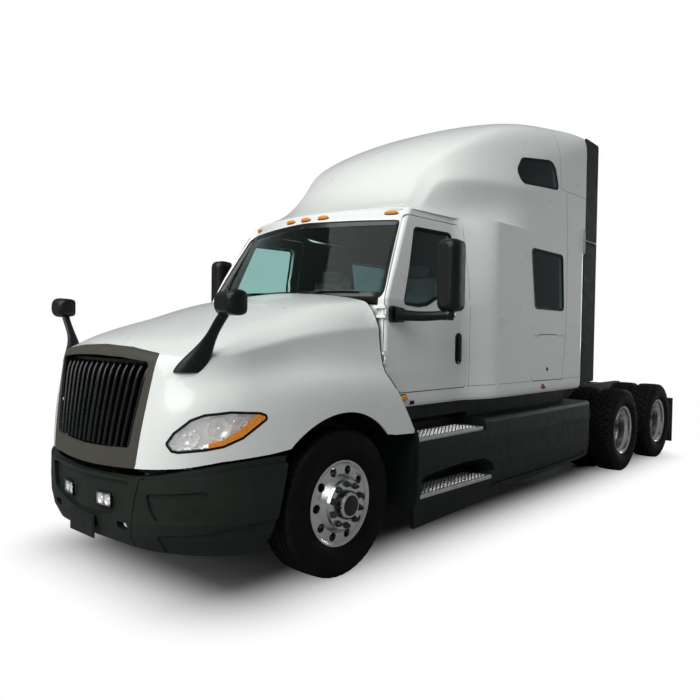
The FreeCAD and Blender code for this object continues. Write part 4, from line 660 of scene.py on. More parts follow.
for s, side in SIDES:
    body = "front_" + side
    nuts(body, s, FRONT_X + 0.17, 0)
    hub = Shape().turned(mm(149, 0, 149, 107, 156, 108, 161, 100.5, 196, 98.5, 201, 95, 203, 75, 215.5, 71,
                            218.5, 60, 219, 0),
                         at(s * FRONT_X, 0, HUB), (s, 0, 0), 64)
    for i in range(6):
        g = 2 * math.pi * (i + 0.5) / 6
        hub.rod(*[on_wheel(s * (FRONT_X + d), 0, STUD_R, g) for d in (0.2, 0.208)], 0.0065, 6)
    hub.made("hub_cap_" + body, "gloss", 30, body, slot="chassis_paint")
    v = Shape()
    for p, q, r in (((0.106, 0.16, 0.195), (0.15, 0.148, 0.18), 0.0045),
                    ((0.146, 0.149, 0.1815), (0.158, 0.146, 0.178), 0.006)):
        v.rod(*[at(s * (FRONT_X + x), y, HUB + z) for x, y, z in (p, q)], r, 10)
    v.made("valve_" + body, "steel", 40, body)
    for nm, y in REARS.items():
        body = "%s_%s" % (nm, side)
        nuts(body, s, REAR_X + 0.0225, y)
        hub = Shape().turned(mm(26, 0, 26, 118, 34, 119.5, 40, 112, 100, 102.5, 108, 98, 111, 70, 121, 64,
                                124, 52, 125, 0),
                             at(s * REAR_X, y, HUB), (s, 0, 0), 64)
        for g in circle(8):
            c = on_wheel(s * (REAR_X + 0.106), y, STUD_R, g)
            hub.rod(c, c + Vector((s * 0.014, 0, 0)), 0.009, 6)
        hub.made("hub_flange_" + body, "nut", 30, body, slot="chassis_paint")

# grille: fifteen rounded bars that turn back at the top, on rails and a fine mesh
nose = Skin("grille_surround", "hood_shell")
LOW, TOP, BARS = 0.955, 1.512, 15


def nose_at(x, z):
    """The nose's line across at this height, bridged over the opening."""
    edge = 0.515 + (z - 0.96) / 0.54 * 0.085
    p, _ = nose.front(edge, z)
    y_edge = p.y if p else at(0, -1.15, 0).y
    return y_edge - 0.043 * (1 - (x / edge) ** 2)


def rails(shape, heights, half, back, deep, high, n):
    """Rails across the opening that follow the nose."""
    for z in heights:
        hw = half + (z - 0.963) * 0.158
        rings = []
        for i in range(n + 1):
            x = -hw + 2 * hw * i / n
            y = nose_at(x, z) + back
            rings.append([Vector((x, y + d, z + h))
                          for d, h in ((0, -high), (deep, -high), (deep, high), (0, high))])
        shape.rings(rings)


bars = Shape()
for i in range(BARS):
    u = (i - (BARS - 1) / 2) / (BARS / 2)
    wide = 0.0185 if i == BARS // 2 else 0.0135
    rings = []
    for t in range(15):
        z = LOW + (TOP - LOW - 0.035) * t / 12 if t <= 12 else TOP - 0.035 + (t - 12) * 0.013
        k = (z - 0.95) / 0.546
        x = u * ((1 - k) * 0.48 + k * 0.566)
        back = 0.01 if t <= 10 else 0.01 + (t - 10) ** 2 * 0.0042
        taper = 1.0 if t < 13 else (0.82 if t == 13 else 0.5)
        c = Vector((x, nose_at(x, z) + back, z))
        ring = []
        for g in circle(12):
            dx, dy = math.cos(g), math.sin(g)
            ring.append(c + Vector((dx * wide * taper, (0.012 if dy < 0 else 0.036) * dy * taper + 0.012, 0)))
        rings.append(ring)
    bars.rings(rings)
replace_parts(bars.made("grille_bars", "gloss", 60, "hood", slot="black_plastic"), "grille")
back = Shape()
rails(back, (0.972, 1.235, 1.492), 0.476, 0.046, 0.022, 0.012, 16)
rails(back, [0.955 + 0.5 * i / 20 for i in range(1, 21)], 0.47, 0.07, 0.004, 0.002, 12)
back.made("grille_backing", "black", 30, "hood", slot="black_plastic")

# headlamps: outlines are drawn along ACROSS from TIP and up, and cast back along DIR
TIP, ACROSS, DIR = Vector((0.835, -1.14, 0)), Vector((0.6, 0.8, 0)), Vector((0.8, -0.6, 0))
LAMP = mm(-51, 1010, -20, 968, 18, 962, 176, 976, 289, 994, 405, 1042, 553, 1152, 547, 1174, 510, 1189,
          334, 1200, 174, 1185, 95, 1156, -6, 1075)
LAMP_U, LAMP_Z, NU, NV = (-0.055, 0.612), (0.958, 0.246), 96, 42
BOWLS = [(0.085, 1.04, 0.052), (0.262, 1.098, 0.066), (0.395, 1.128, 0.04)]
BULB = 0.26                     # a bulb's share of its bowl's radius
hood_skin = Skin("hood_shell")
lens_skin = Skin("headlamp_lenses", "turn_lamps")


def flipx(v, s):
    return Vector((v.x * s, v.y, v.z))


def lamp_cast(s, skin):
    def cast(u, z):
        o = TIP + ACROSS * u + DIR * 0.4
        return skin.hit(flipx(at(o.x, o.y, z), s), flipx(-DIR, s))
    return cast


def inside(pt, poly):
    x, y = pt
    c = False
    for i in range(len(poly)):
        (x0, y0), (x1, y1) = poly[i - 1], poly[i]
        if (y0 > y) != (y1 > y) and x < (x1 - x0) * (y - y0) / (y1 - y0) + x0:
            c = not c
    return c


def edge_distance(pt, poly):
    p, best = Vector(pt), 9.0
    for i in range(len(poly)):
        q0, q1 = Vector(poly[i - 1]), Vector(poly[i])
        t = max(0.0, min(1.0, (p - q0).dot(q1 - q0) / (q1 - q0).length_squared))
        best = min(best, (p - q0.lerp(q1, t)).length)
    return best


def reflector_depth(u, z, poly):
    """How far the reflector lies behind the lens: facets, and bowls with a bulb in each."""
    d = 0.01 + min(0.034, edge_distance((u, z), poly) * 2.2)
    facet = 0.0011 * math.sin(u * 330 + z * 90)
    for bu, bz, br in BOWLS:
        q = math.hypot(u - bu, z - bz) / br
        if q < BULB:
            d, facet = 0.048 - 0.014 * math.cos(q / BULB * math.pi / 2), 0
        elif q < 1:
            d, facet = 0.072 - 0.04 * q * q, 0.0005 * math.sin(18 * math.atan2(z - bz, u - bu)) * q
        elif q < 1.12:
            d, facet = min(d, 0.022), 0
    return d + facet


for s, side in SIDES:
    cast, lamp_in = lamp_cast(s, lens_skin), moved(LAMP, -0.006)
    pts = {}
    for i in range(NU + 1):
        for j in range(NV + 1):
            u, z = LAMP_U[0] + LAMP_U[1] * i / NU, LAMP_Z[0] + LAMP_Z[1] * j / NV
            p = cast(u, z)[0] if inside((u, z), lamp_in) else None
            if p is not None:
                pts[i, j] = p - flipx(DIR, s) * reflector_depth(u, z, lamp_in)
    number = {k: n for n, k in enumerate(pts)}
    cells = [((i, j), (i + 1, j), (i + 1, j + 1), (i, j + 1)) for i, j in pts]
    faces = [[number[k] for k in cell] for cell in cells if all(k in pts for k in cell)]
    ob = add("reflector_" + side, list(pts.values()), faces, "chrome", "hood", 30)
    if s == 1:
        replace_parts(ob, "headlamps")
    ps, ns = traced(outline(moved(LAMP, 0.006), 0.018, 0.02), lamp_cast(s, hood_skin))
    Shape().sweep(ps, ns, mm(-3, -4, -3, 1.2, 2, 2.2, 12, 1.4, 13, -4),
                  True).made("lamp_rim_" + side, "seal", 40, "hood")

# glass surrounds
screen = Skin("windshield")
cabin_skin = Skin("cab_shell")
SCREEN = [(-1.066, BELT + 0.006), (0, BELT + 0.027), (1.066, BELT + 0.006), (0.926, HEADER - 0.024),
          (0, HEADER + 0.006), (-0.926, HEADER - 0.024)]
DOOR_WIN = [(0.735, BELT - 0.03), (0.93, BELT - 0.042), (1.04, BELT - 0.028), (1.18, BELT + 0.032),
            (1.505, BELT + 0.034), (1.505, HEADER - 0.078), (0.985, HEADER - 0.084)]
DOOR_WIN_R = [0.03, 0.06, 0.06, 0.06, 0.05, 0.05, 0.06]
SL_WIN = [(2.725, BELT + 0.007), (3.37, BELT + 0.002), (3.322, HEADER - 0.109), (2.632, HEADER - 0.099)]
CAP_WIN = [(2.418, SEAM + 0.545), (2.545, SEAM + 0.694), (3.12, SEAM + 0.764), (3.188, SEAM + 0.488),
           (2.47, SEAM + 0.438)]
CAP_WIN_R = [0.09, 0.09, 0.13, 0.045, 0.09]
SEAL = mm(-6, -3, -5, 2, 0, 3.5, 10, 1, 22, -6, 22, -12, 4, -12)


def around(name, pts, r, cast, section, mat, body, step=0.04):
    """Band along a closed outline whose section's first offset points into the outline."""
    ps, ns = traced(outline(pts, r, step), cast)
    mid = sum(ps, Vector()) / len(ps)
    turns = [n.cross(q - p).dot(mid - p) for p, q, n in zip(ps, ps[1:] + ps[:1], ns)]
    if sum(1 if t > 0 else -1 for t in turns) < 0:
        section = [(-p, q) for p, q in section]
    Shape().sweep(ps, ns, section, True).made(name, mat, 50, body)


around("screen_frit", moved(SCREEN, -0.006), 0.055, screen.front,
       mm(-2, 0.2, -2, 0.9, 44, 0.9, 47, 0.2), "gloss", "chassis")
around("screen_gasket", moved(SCREEN, -0.005), 0.056, screen.front,
       mm(-7, -6, -7, 3.5, -3, 5.5, 4, 3.5, 9, 0.6, 8, -4),
       "seal", "chassis")
for s, side in SIDES:
    for nm, pts, r, node, body in (("door", DOOR_WIN, DOOR_WIN_R, "door_" + side, "door_" + side),
                                   ("sleeper", SL_WIN, 0.045, "sleeper_shell", "chassis"),
                                   ("cap", CAP_WIN, CAP_WIN_R, "roof_cap", "chassis")):
        sk = Skin(node)
        around("%s_window_seal_%s" % (nm, side), moved(pts, 0.004), r, lambda y, z: sk.side(y, z, s), SEAL,
               "seal", body, 0.03)


# lamps and fittings on the roof and sides
def dome(shape, p, n, lift, a, b, h):
    """Oval lens a by b half-size and h high, raised by lift from a surface."""
    c, rot = p + n * lift, facing(n)
    oval = [(a * math.copysign(abs(math.cos(t)) ** 0.8, math.cos(t)), b * math.sin(t)) for t in circle(28)]
    shape.rings([[c + rot @ Vector((x * k, y * k, z)) for x, y in oval]
                 for k, z in ((1, -0.004), (1, h * 0.3), (0.97, h * 0.55), (0.88, h * 0.8), (0.7, h * 0.94),
                              (0.35, h), (0.02, h))])


def ribbon(name, pts, cast, wide):
    """Thin grey strip along a line on a surface, for a joint between panels: painted shade in the gap."""
    ps, ns = traced([(v.x, v.y) for v in smooth_path([(x, y, 0) for x, y in pts], 6)], cast)
    section = [(-wide / 2, -0.002), (-wide / 2, 0.0006), (wide / 2, 0.0006), (wide / 2, -0.002)]
    Shape().sweep(ps, ns, section).made(name, "seam", 30)


def rivet(s, c, n, r=0.0055, h=0.0026):
    s.turned([(-0.001, 0.0), (-0.001, r), (h * 0.45, r * 0.92), (h * 0.85, r * 0.6), (h, 0.0)], c, n, 12)


cab_side = Skin("cab_shell", "door_left", "door_right")
sleeper_side = Skin("sleeper_shell", "luggage_door_left", "luggage_door_right")
cap_side = Skin("roof_cap")
lamps, bases = Shape(), Shape()
for x in (-0.82, -0.202, 0, 0.202, 0.82):
    p, n = cabin_skin.hit(at(x, 0.752 + 0.225 * x * x - 0.35, HEADER + 0.036), (0, 1, 0))
    n = (n + Vector((0, 0, 0.5))).normalized()
    dome(bases, p, n, -0.002, 0.063, 0.019, 0.007)
    dome(lamps, p, n, 0.003, 0.056, 0.0145, 0.022)
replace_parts(lamps.made("roof_lamps", "amber", 50, slot="amber_lens"), "marker_lamps")
bases.made("roof_lamp_bases", "gloss", 50)

RIVETS = ((2.562, (3.48, 3.627, 3.8)), (1.806, (3.492, 3.669, 3.823)), (1.267, (3.427, 3.639, 3.832)),
          (2.18, (3.492, 3.66, 3.828)), (2.9, (3.478, 3.65, 3.828)), (1.5, (3.47, 3.65, 3.828)))
for s, side in SIDES:
    on_cab, on_sleeper, on_cap = [lambda y, z, skin=skin: skin.side(y, z, s)
                                  for skin in (cab_side, sleeper_side, cap_side)]
    # the panel joints are strips of painted shade
    for nm, cast, wide, pts in (
            ("cap_rear_seam_", on_cap, 0.004, mm(3238, 3823, 3247, 3550, 3252, 3300, 3253, 3241, 3270, 3219,
                                                 3340, 3214, 3420, 3212, 3600, 3212, 3872, 3212)),
            ("cap_lower_seam_", on_cap, 0.004, mm(3385, 3205, 3395, 3080, 3408, 2930, 3420, 2800,
                                                  3430, 2716)),
            ("side_rear_seam_", on_sleeper, 0.004, mm(3433, 2708, 3438, 2400, 3440, 2000, 3440, 1755,
                                                      3420, 1600, 3395, 1420, 3367, 1278)),
            ("sill_seam_rear_", on_sleeper, 0.004, mm(2050, 1245.5, 2400, 1245, 2648, 1244.8)),
            ("sill_seam_end_", on_sleeper, 0.004, mm(3422, 1243, 3600, 1242.5, 3872, 1242)),
            ("sill_seam_front_", lambda y, z: (on_sleeper if y > 1.665 else on_cab)(y, z), 0.004,
             mm(1632, 1246.5, 1800, 1246, 1980, 1245.6)),
            ("cab_joint_seam_", on_sleeper, 0.003, mm(1662, 1160, 1662, 1600, 1662, 2100, 1662, 2660))):
        ribbon(nm + side, pts, cast, wide)
    rivets = Shape()
    for z, ys in RIVETS:
        for y in ys:
            p, n = (on_cap if z > SEAM else on_sleeper)(y, z)
            if p:
                rivet(rivets, p, n)
    rivets.made("side_rivets_" + side, "grey", 40)

    # amber and red side lamps, step light and the luggage lid's lock
    bezels = Shape()
    for nm, mat, found, bezel, lens in (
            ("side_lamp_", "amber", on_cab(0.755, 1.194), (0.052, 0.031, 0.009), (0.044, 0.024, 0.02)),
            ("rear_side_lamp_", "red", on_sleeper(2.931, 1.18), (0.041, 0.024, 0.009),
             (0.034, 0.018, 0.018))):
        lamp = Shape()
        dome(bezels, *found, 0, *bezel)
        dome(lamp, *found, 0.004, *lens)
        lamp.made(nm + side, mat, 50, slot=mat + "_lens")
    spot = Spot(on_cab(0.876, 1.15))
    bezels.block(spot.out(0.004), (0.05, 0.03, 0.012), 0.004, spot.rot)
    for k in (-1, 0, 1):
        bezels.block(spot.out(0.012) + Vector((0, k * 0.014, 0)), (0.004, 0.024, 0.006), 0.001, spot.rot)
    bezels.made("side_lamp_bezels_" + side, "gloss", 50)
    spot = Spot(on_sleeper(3.011, 1.353))
    lock = Shape().turned(mm(-2, 0, -2, 19, 2, 19, 4, 17, 4, 13, 1.5, 12, 1.5, 0), spot.p, spot.n, 28)
    lock.block(spot.out(0.003), (0.003, 0.014, 0.004), 0.001, spot.rot)
    lock.made("luggage_lock_" + side, "gloss", 40, "luggage_" + side)

    # grey bracket on the rear corner, with its rod across the extender
    bracket, stay = Shape(), Shape()
    x = s * 1.199
    bracket.block(at(x, 3.852, 2.739), (0.012, 0.052, 0.27), 0.004)
    for z, h in ((2.79, 0.09), (2.68, 0.07)):
        bracket.block(at(x + s * 0.008, 3.846, z), (0.014, 0.03, h), 0.004)
    for z in (2.625, 2.742, 2.852):
        bracket.rod(at(x, 3.852, z), at(x + s * 0.014, 3.852, z), 0.007, 8)
    bracket.made("corner_bracket_" + side, "grey", 35)
    stay.rod(at(x + s * 0.004, 3.866, 2.752), at(x, 4.185, 2.746), 0.0045, 10)
    stay.rod(at(s * 1.188, 4.18, 2.746), at(s * 1.206, 4.18, 2.746), 0.012, 12, bevel=0.002)
    stay.made("extender_stay_" + side, "dial", 35)

# mirror glasses and their joints
MIRROR_X, MIRROR_W = 1.416, 0.064
for s, side in SIDES:
    body = "door_" + side
    glass, case, joint = Shape(), Shape(), Shape()
    for z, h in ((BELT + 0.262, 0.33), (BELT + 0.008, 0.13)):
        slab(glass, rounded(MIRROR_W, h / 2, 0.022, 0.05, c=(s * MIRROR_X, z)), 0.9715, -0.003, 0.0015)
    glass.made("door_mirror_glass_" + side, "mirror", 35, body, slot="black_plastic")
    ring = rounded(MIRROR_W + 0.01, 0.256, 0.032, 0.05, c=(s * MIRROR_X, BELT + 0.184))
    case.sweep([at(x, 0.971, z) for x, z in ring], [Vector((0, 1, 0))] * len(ring),
               mm(-4, -4, -4, 2, 3, 2, 3, -4), True)
    case.block(at(s * MIRROR_X, 0.971, BELT + 0.086), (0.14, 0.006, 0.012), 0.002)
    case.made("door_mirror_frame_" + side, "mirror_case", 35, body)
    joint.turned(mm(-20, 0, -20, 45.5, -16, 48, 16, 48, 20, 45.5, 20, 0), at(s * 1.42, 0.876, BELT - 0.116),
                 (0, 0, 1), 32)
    joint.made("mirror_joint_" + side, "gloss", 40, body)

# windscreen wipers and cowl
ps, ns = traced([(x / 10, BELT - 0.004 + 0.021 * (1 - (x / 10.7) ** 2) - 0.012) for x in range(-10, 11)],
                cabin_skin.front)
Shape().sweep(ps, ns, mm(-30, -3, -30, 3, -26, 6, 20, 6, 24, 2, 24, -3)).made("cowl_strip", "black", 40)
wipers = Shape()
for x0, x1, pivot in ((-0.86, -0.16, -0.22), (0.1, 0.8, 0.16)):
    blade = [(x0 + (x1 - x0) * t, BELT + 0.05 + 0.012 * math.sin(math.pi * t) + 0.01 * t)
             for t in [i / 10 for i in range(11)]]
    bp, bn = traced(blade, screen.front)
    wipers.sweep([p + n * 0.01 for p, n in zip(bp, bn)], bn,
                 mm(-3, -9, -6, 2, -3, 8, 3, 8, 6, 2, 3, -9))
    mid, mn = bp[len(bp) // 2], bn[len(bp) // 2]
    q, _ = screen.front(pivot, BELT + 0.04)
    root = q + Vector((0, -0.004, -0.03)) if q else mid
    arm = [root, root.lerp(mid, 0.35) + mn * 0.03, root.lerp(mid, 0.75) + mn * 0.03, mid + mn * 0.018]
    wipers.rings([[c + Vector((0, 0, 0.009 * math.sin(t))) + mn * 0.005 * math.cos(t) for t in circle(8)]
                  for c in smooth_path(arm, 5)])
    wipers.rod(root - mn * 0.01, root + mn * 0.022, 0.019, 16, bevel=0.003)
wipers.made("wipers", "gloss", 40)

# step treads: raised teeth in rows, and a bright nosing
PITCH = 0.027
for s, side in SIDES:
    for y0, y1, z, x0 in ((0.812, 1.78, 0.884, 0.975), (0.85, 1.939, 0.432, 0.985)):
        teeth = Shape()
        for i in range(int((y1 - y0 - 0.08) / PITCH)):
            for j in range(6):
                if y1 - (y0 + 0.05 + PITCH * i) < 0.1 and j < 2:
                    continue
                c = at(s * (x0 + 0.034 * j + (0.008 if i % 2 else 0)), y0 + 0.05 + PITCH * i, z + 0.0015)
                teeth.turned(mm(-3, 0, -3, 9.5, 3.5, 7.2, 4.5, 5.2, 2, 4, 2, 0), c, (0, 0, 1), 6)
        teeth.block(at(s * 1.1975, (y0 + y1) / 2, z + 0.001), (0.01, y1 - y0 - 0.014, 0.007), 0.003)
        teeth.block(at(s * 1.2042, (y0 + y1) / 2, z - 0.013), (0.003, y1 - y0 - 0.012, 0.022), 0.001)
        teeth.made("step_teeth_%s_%d" % (side, int(z * 1000)), "tread", 30, slot="aluminium")

# fog lamps: bowls behind the lenses, and their bezels
fog_skin = Skin("fog_lamps")
bowls, bezels = Shape(), Shape()
for s in (-1, 1):
    spot = Spot(fog_skin.front(s * 0.238, 0.61))
    for dx in (-0.036, 0.036):
        bowls.rings([[spot.to(dx + 0.033 * q * math.cos(t), 0.035 * q * math.sin(t), -0.0165 + 0.012 * q * q)
                      for t in circle(20)] for q in [k / 6 for k in range(7)]], caps=False)
        bowls.turned(mm(-18, 0, -18, 6, -10, 6, -7, 4, -6, 0),
                     spot.to(dx, 0), spot.n, 12)
    spot.frame(bezels, rounded(0.083, 0.045, 0.024), mm(-6, -12, -6, 4, -2, 7, 5, 4, 6, -6))
bowls.made("fog_reflectors", "chrome", 60, slot="lamp_body")
bezels.made("fog_bezels", "gloss", 40)

# the blank plate and its screws
plate, screws = Shape(), Shape()
slab(plate, rounded(0.152, 0.065, 0.012, 0.05, c=(0, 0.417)), -1.2995, 0.001, -0.0015)
plate.made("plate_blank", "mirror_case", 30)
for x in (-0.1, 0.1):
    for z in (0.365, 0.47):
        screws.turned(mm(-1, 0, -1, 6, 2, 5.5, 3, 3, 3, 0),
                      at(x, -1.301, z), (0, -1, 0), 12)
screws.made("plate_screws", "nut", 40)


# seats: padded cushions on their frames
def applied(ob, kind, **settings):
    """Changes an object's own mesh by a modifier."""
    mod = ob.modifiers.new(kind.lower(), kind)
    for key, value in settings.items():
        setattr(mod, key, value)
    dg = bpy.context.evaluated_depsgraph_get()
    shaped = bpy.data.meshes.new_from_object(ob.evaluated_get(dg))
    ob.modifiers.remove(mod)
    old, ob.data = ob.data, shaped
    bpy.data.meshes.remove(old)


SEAM_W, HOLD_W, FRAMES = 0.02, 0.016, 20


def cushion(name, centre, size, mat, rot=None, seams=(), voxel=0.016, cap=0.02, pull=0.01):
    """A stuffed pad: an eased block, its seams drawn in, blown up as cloth and smoothed."""
    blank = Shape().block((0, 0, 0), size, min(size) * 0.42)
    ob = linked(name, blank.v, blank.f)
    applied(ob, "REMESH", mode="VOXEL", voxel_size=voxel)
    half = Vector(size) / 2
    held = ob.vertex_groups.new(name="held")
    for v in ob.data.vertices:
        w = 0.0
        for axis, place in seams:
            off = abs(v.co["xyz".index(axis)] - place)
            if off < SEAM_W and v.co.z > half.z * 0.2:
                v.co.z -= pull * (1 - (off / SEAM_W) ** 2)
                w = max(w, 1.0 - off / HOLD_W)
        piping = abs(v.co.z - half.z * 0.1) < voxel * 0.7
        if piping and (abs(v.co.x) > half.x * 0.93 or abs(v.co.y) > half.y * 0.93) or v.co.z < -half.z * 0.8:
            w = 1.0
        if w > 0.05:
            held.add([v.index], min(1.0, w), "REPLACE")
    start = [v.co.copy() for v in ob.data.vertices]
    cloth = ob.modifiers.new("cloth", "CLOTH")
    cloth.settings.use_pressure = True
    cloth.settings.uniform_pressure_force = 4.0
    cloth.settings.quality = 5
    cloth.settings.effector_weights.gravity = 0.0
    cloth.settings.vertex_group_mass = "held"
    cloth.point_cache.frame_start, cloth.point_cache.frame_end = 1, FRAMES
    for frame_no in range(1, FRAMES + 1):
        bpy.context.scene.frame_set(frame_no)
    dg = bpy.context.evaluated_depsgraph_get()
    after = [v.co.copy() for v in ob.evaluated_get(dg).to_mesh().vertices]
    ob.evaluated_get(dg).to_mesh_clear()
    ob.modifiers.remove(cloth)
    bpy.context.scene.frame_set(1)
    for v, p0, p1 in zip(ob.data.vertices, start, after):
        grown = p1 - p0
        v.co = p0 + (grown if grown.length < cap else grown.normalized() * cap)
    ob.vertex_groups.clear()
    applied(ob, "SUBSURF", levels=1, render_levels=1)
    rot = rot or Matrix.Identity(3)
    for v in ob.data.vertices:
        v.co = rot @ v.co + Vector(centre)
    smooth(ob.data)
    ob.data.materials.append(M[mat])
    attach(ob, "chassis")
    return ob


seat, up = {}, tilt(90)
for s, side in SIDES:
    x = s * 0.56
    seat[side] = cushion("seat_cushion_" + side, at(x, 1.405, 1.622), (0.4, 0.42, 0.105), "fabric",
                         seams=(("y", 0.06), ("x", -0.13), ("x", 0.13)))
    for k in (-1, 1):
        cushion("seat_bolster_%s_%d" % (side, k), at(x + k * 0.222, 1.405, 1.628), (0.06, 0.44, 0.088),
                "bolster", voxel=0.014, cap=0.008)
    cushion("seat_back_" + side, at(x, 1.672, 1.925), (0.36, 0.56, 0.08), "fabric", up,
            seams=(("y", -0.14), ("y", 0.02), ("y", 0.16)))
    for k in (-1, 1):
        cushion("back_bolster_%s_%d" % (side, k), at(x + k * 0.205, 1.668, 1.925), (0.06, 0.58, 0.07),
                "bolster", up, voxel=0.014, cap=0.006)
    cushion("headrest_" + side, at(x, 1.668, 2.262), (0.27, 0.12, 0.074), "bolster", up, voxel=0.014,
            cap=0.01)
    base, bellows, buckle = Shape(), Shape(), Shape()
    base.block(at(x, 1.425, 1.57), (0.46, 0.46, 0.022), 0.008)
    base.block(at(x, 1.727, 1.95), (0.42, 0.018, 0.62), 0.008)
    for dx in (-0.05, 0.05):
        base.rod(at(x + dx, 1.712, 2.16), at(x + dx, 1.7, 2.25), 0.006, 10)
    for k in (-1, 1):
        base.block(at(x + k * 0.236, 1.65, 1.625), (0.016, 0.12, 0.11), 0.006)
        base.rings([[at(x + k * 0.24 + 0.022 * math.cos(t), 1.36 + 0.3 * q,
                        1.815 + 0.018 * math.sin(t) + 0.01 * q) for t in circle(12)]
                    for q in (0, 0.05, 0.5, 1)])
    base.made("seat_frame_" + side, "cabin", 40, slot="cabin_plastic")
    rings = []
    for i in range(15):
        w = 0.122 if i % 2 else 0.106
        rings.append([at(x + dx, 1.425 + dy, 1.185 + 0.37 * i / 14)
                      for dx, dy in rounded(w, w + 0.04, 0.03, 0.2, 3)])
    bellows.rings(rings).made("seat_bellows_" + side, "hose", 50, slot="cabin_plastic")
    buckle.block(at(x + s * 0.236, 1.585, 1.66), (0.014, 0.028, 0.07), 0.004)
    buckle.block(at(x - s * 0.236, 1.56, 1.65), (0.016, 0.03, 0.06), 0.004)
    buckle.made("belt_buckle_" + side, "gloss", 35)
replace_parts(seat["left"], "seats")

# bunk: a quilted mattress on a cabinet with drawers
quilting = [("x", -0.92 + 0.23 * i) for i in range(9)] + [("y", -0.2), ("y", 0.0), ("y", 0.2)]
mattress = cushion("mattress", at(0, 3.378, 1.808), (2.21, 0.8, 0.15), "mattress", seams=quilting,
                   voxel=0.031, pull=0.012)
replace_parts(mattress, "bunk")
cabinet, fronts, pulls = Shape(), Shape(), Shape()
cabinet.block(at(0, 3.36, 1.44), (2.18, 0.73, 0.52), 0.012)
cabinet.block(at(0, 3.37, 1.715), (2.255, 0.83, 0.022), 0.008)
cabinet.made("bunk_cabinet", "cabin", 30, slot="cabin_plastic")
for i in range(4):
    x = -0.81 + 0.54 * i
    for z, h in ((1.6, 0.18), (1.36, 0.26)):
        fronts.block(at(x, 2.992, z), (0.5, 0.014, h), 0.006)
        pulls.block(at(x, 2.982, z + h * 0.28), (0.11, 0.01, 0.018), 0.004)
fronts.made("bunk_drawers", "lining", 35, slot="cabin_plastic")
pulls.made("drawer_pulls", "gloss", 35)

# instrument panel: the cluster in front of the driver, then the other fittings
dash_skin = Skin("dashboard")
cowls, displays, vents, controls, dials = [Shape() for _ in range(5)]
spot = Spot(dash_skin.rear(0.56, 1.82, 2.2))
displays.block(spot.out(0.004), (0.36, 0.13, 0.01), 0.02, spot.rot)
for dx, r in ((-0.11, 0.047), (0.0, 0.055), (0.11, 0.047)):
    c = spot.to(dx, 0.0, 0.01)
    dials.turned([(0, 0), (0, r), (0.003, r), (0.003, r * 0.94), (0.0012, r * 0.92), (0.0012, 0)], c,
                 spot.n, 40)
    for k in range(9):
        g = math.radians(-130 + 260 * k / 8)
        q = spot.rot @ Vector((math.sin(g), math.cos(g), 0))
        controls.block(c + q * r * 0.8 + spot.n * 0.0022, (0.0022, 0.008, 0.001), 0.0004,
                       spot.rot @ Matrix.Rotation(-g, 3, "Z"))
    g = math.radians(-70 + dx * 500)
    q = spot.rot @ Vector((math.sin(g), math.cos(g), 0))
    controls.rod(c + spot.n * 0.003, c + spot.n * 0.003 + q * r * 0.72, 0.0016, 6)
cowls.block(spot.to(0, 0.082, 0.045), (0.4, 0.016, 0.11), 0.007, spot.rot)
for k in (-1, 1):
    cowls.block(spot.to(k * 0.196, 0.0, 0.03), (0.014, 0.16, 0.07), 0.006, spot.rot)
for x, z, w, h, kind in ((0.12, 1.8, 0.2, 0.125, "screen"), (0.12, 1.66, 0.22, 0.075, "knobs"),
                         (0.3, 1.79, 0.09, 0.07, "vent"), (-0.06, 1.79, 0.09, 0.07, "vent"),
                         (0.88, 1.79, 0.1, 0.07, "vent"), (-0.8, 1.79, 0.14, 0.06, "vent"),
                         (-0.45, 1.68, 0.46, 0.17, "box")):
    found = dash_skin.rear(x, z, 2.2)
    if found[0] is None:
        continue
    spot = Spot(found)
    if kind == "screen":
        cowls.block(spot.out(0.006), (w + 0.02, h + 0.02, 0.014), 0.006, spot.rot)
        displays.block(spot.out(0.0135), (w, h, 0.004), 0.003, spot.rot)
    elif kind == "knobs":
        cowls.block(spot.out(0.004), (w, h, 0.01), 0.005, spot.rot)
        for k in (-1, 0, 1):
            controls.turned(mm(0, 0, 0, 17, 18, 15, 20, 12, 20, 0),
                            spot.to(k * 0.068, 0.008, 0.008), spot.n, 24)
        for k in range(6):
            controls.block(spot.to(-0.08 + 0.032 * k, -0.026, 0.009), (0.024, 0.012, 0.006), 0.002, spot.rot)
    elif kind == "vent":
        spot.frame(vents, rounded(w / 2, h / 2, 0.014),
                   mm(-4, -2, -4, 8, 4, 8, 4, -2))
        for k in range(4):
            vents.block(spot.to(0, -h * 0.36 + h * 0.24 * k, 0.004), (w * 0.92, 0.003, 0.01), 0.001,
                        spot.rot @ Matrix.Rotation(0.5, 3, "X"))
    else:
        cowls.block(spot.out(0.002), (w, h, 0.01), 0.008, spot.rot)
        controls.block(spot.to(0, h * 0.36, 0.01), (0.09, 0.014, 0.01), 0.004, spot.rot)
cowls.made("dash_cowls", "cabin", 35, slot="cabin_plastic")
displays.made("dash_displays", "screen", 35)
vents.made("dash_vents", "gloss", 35)
controls.made("dash_controls", "dial", 40)
dials.made("dash_dials", "screen", 40)

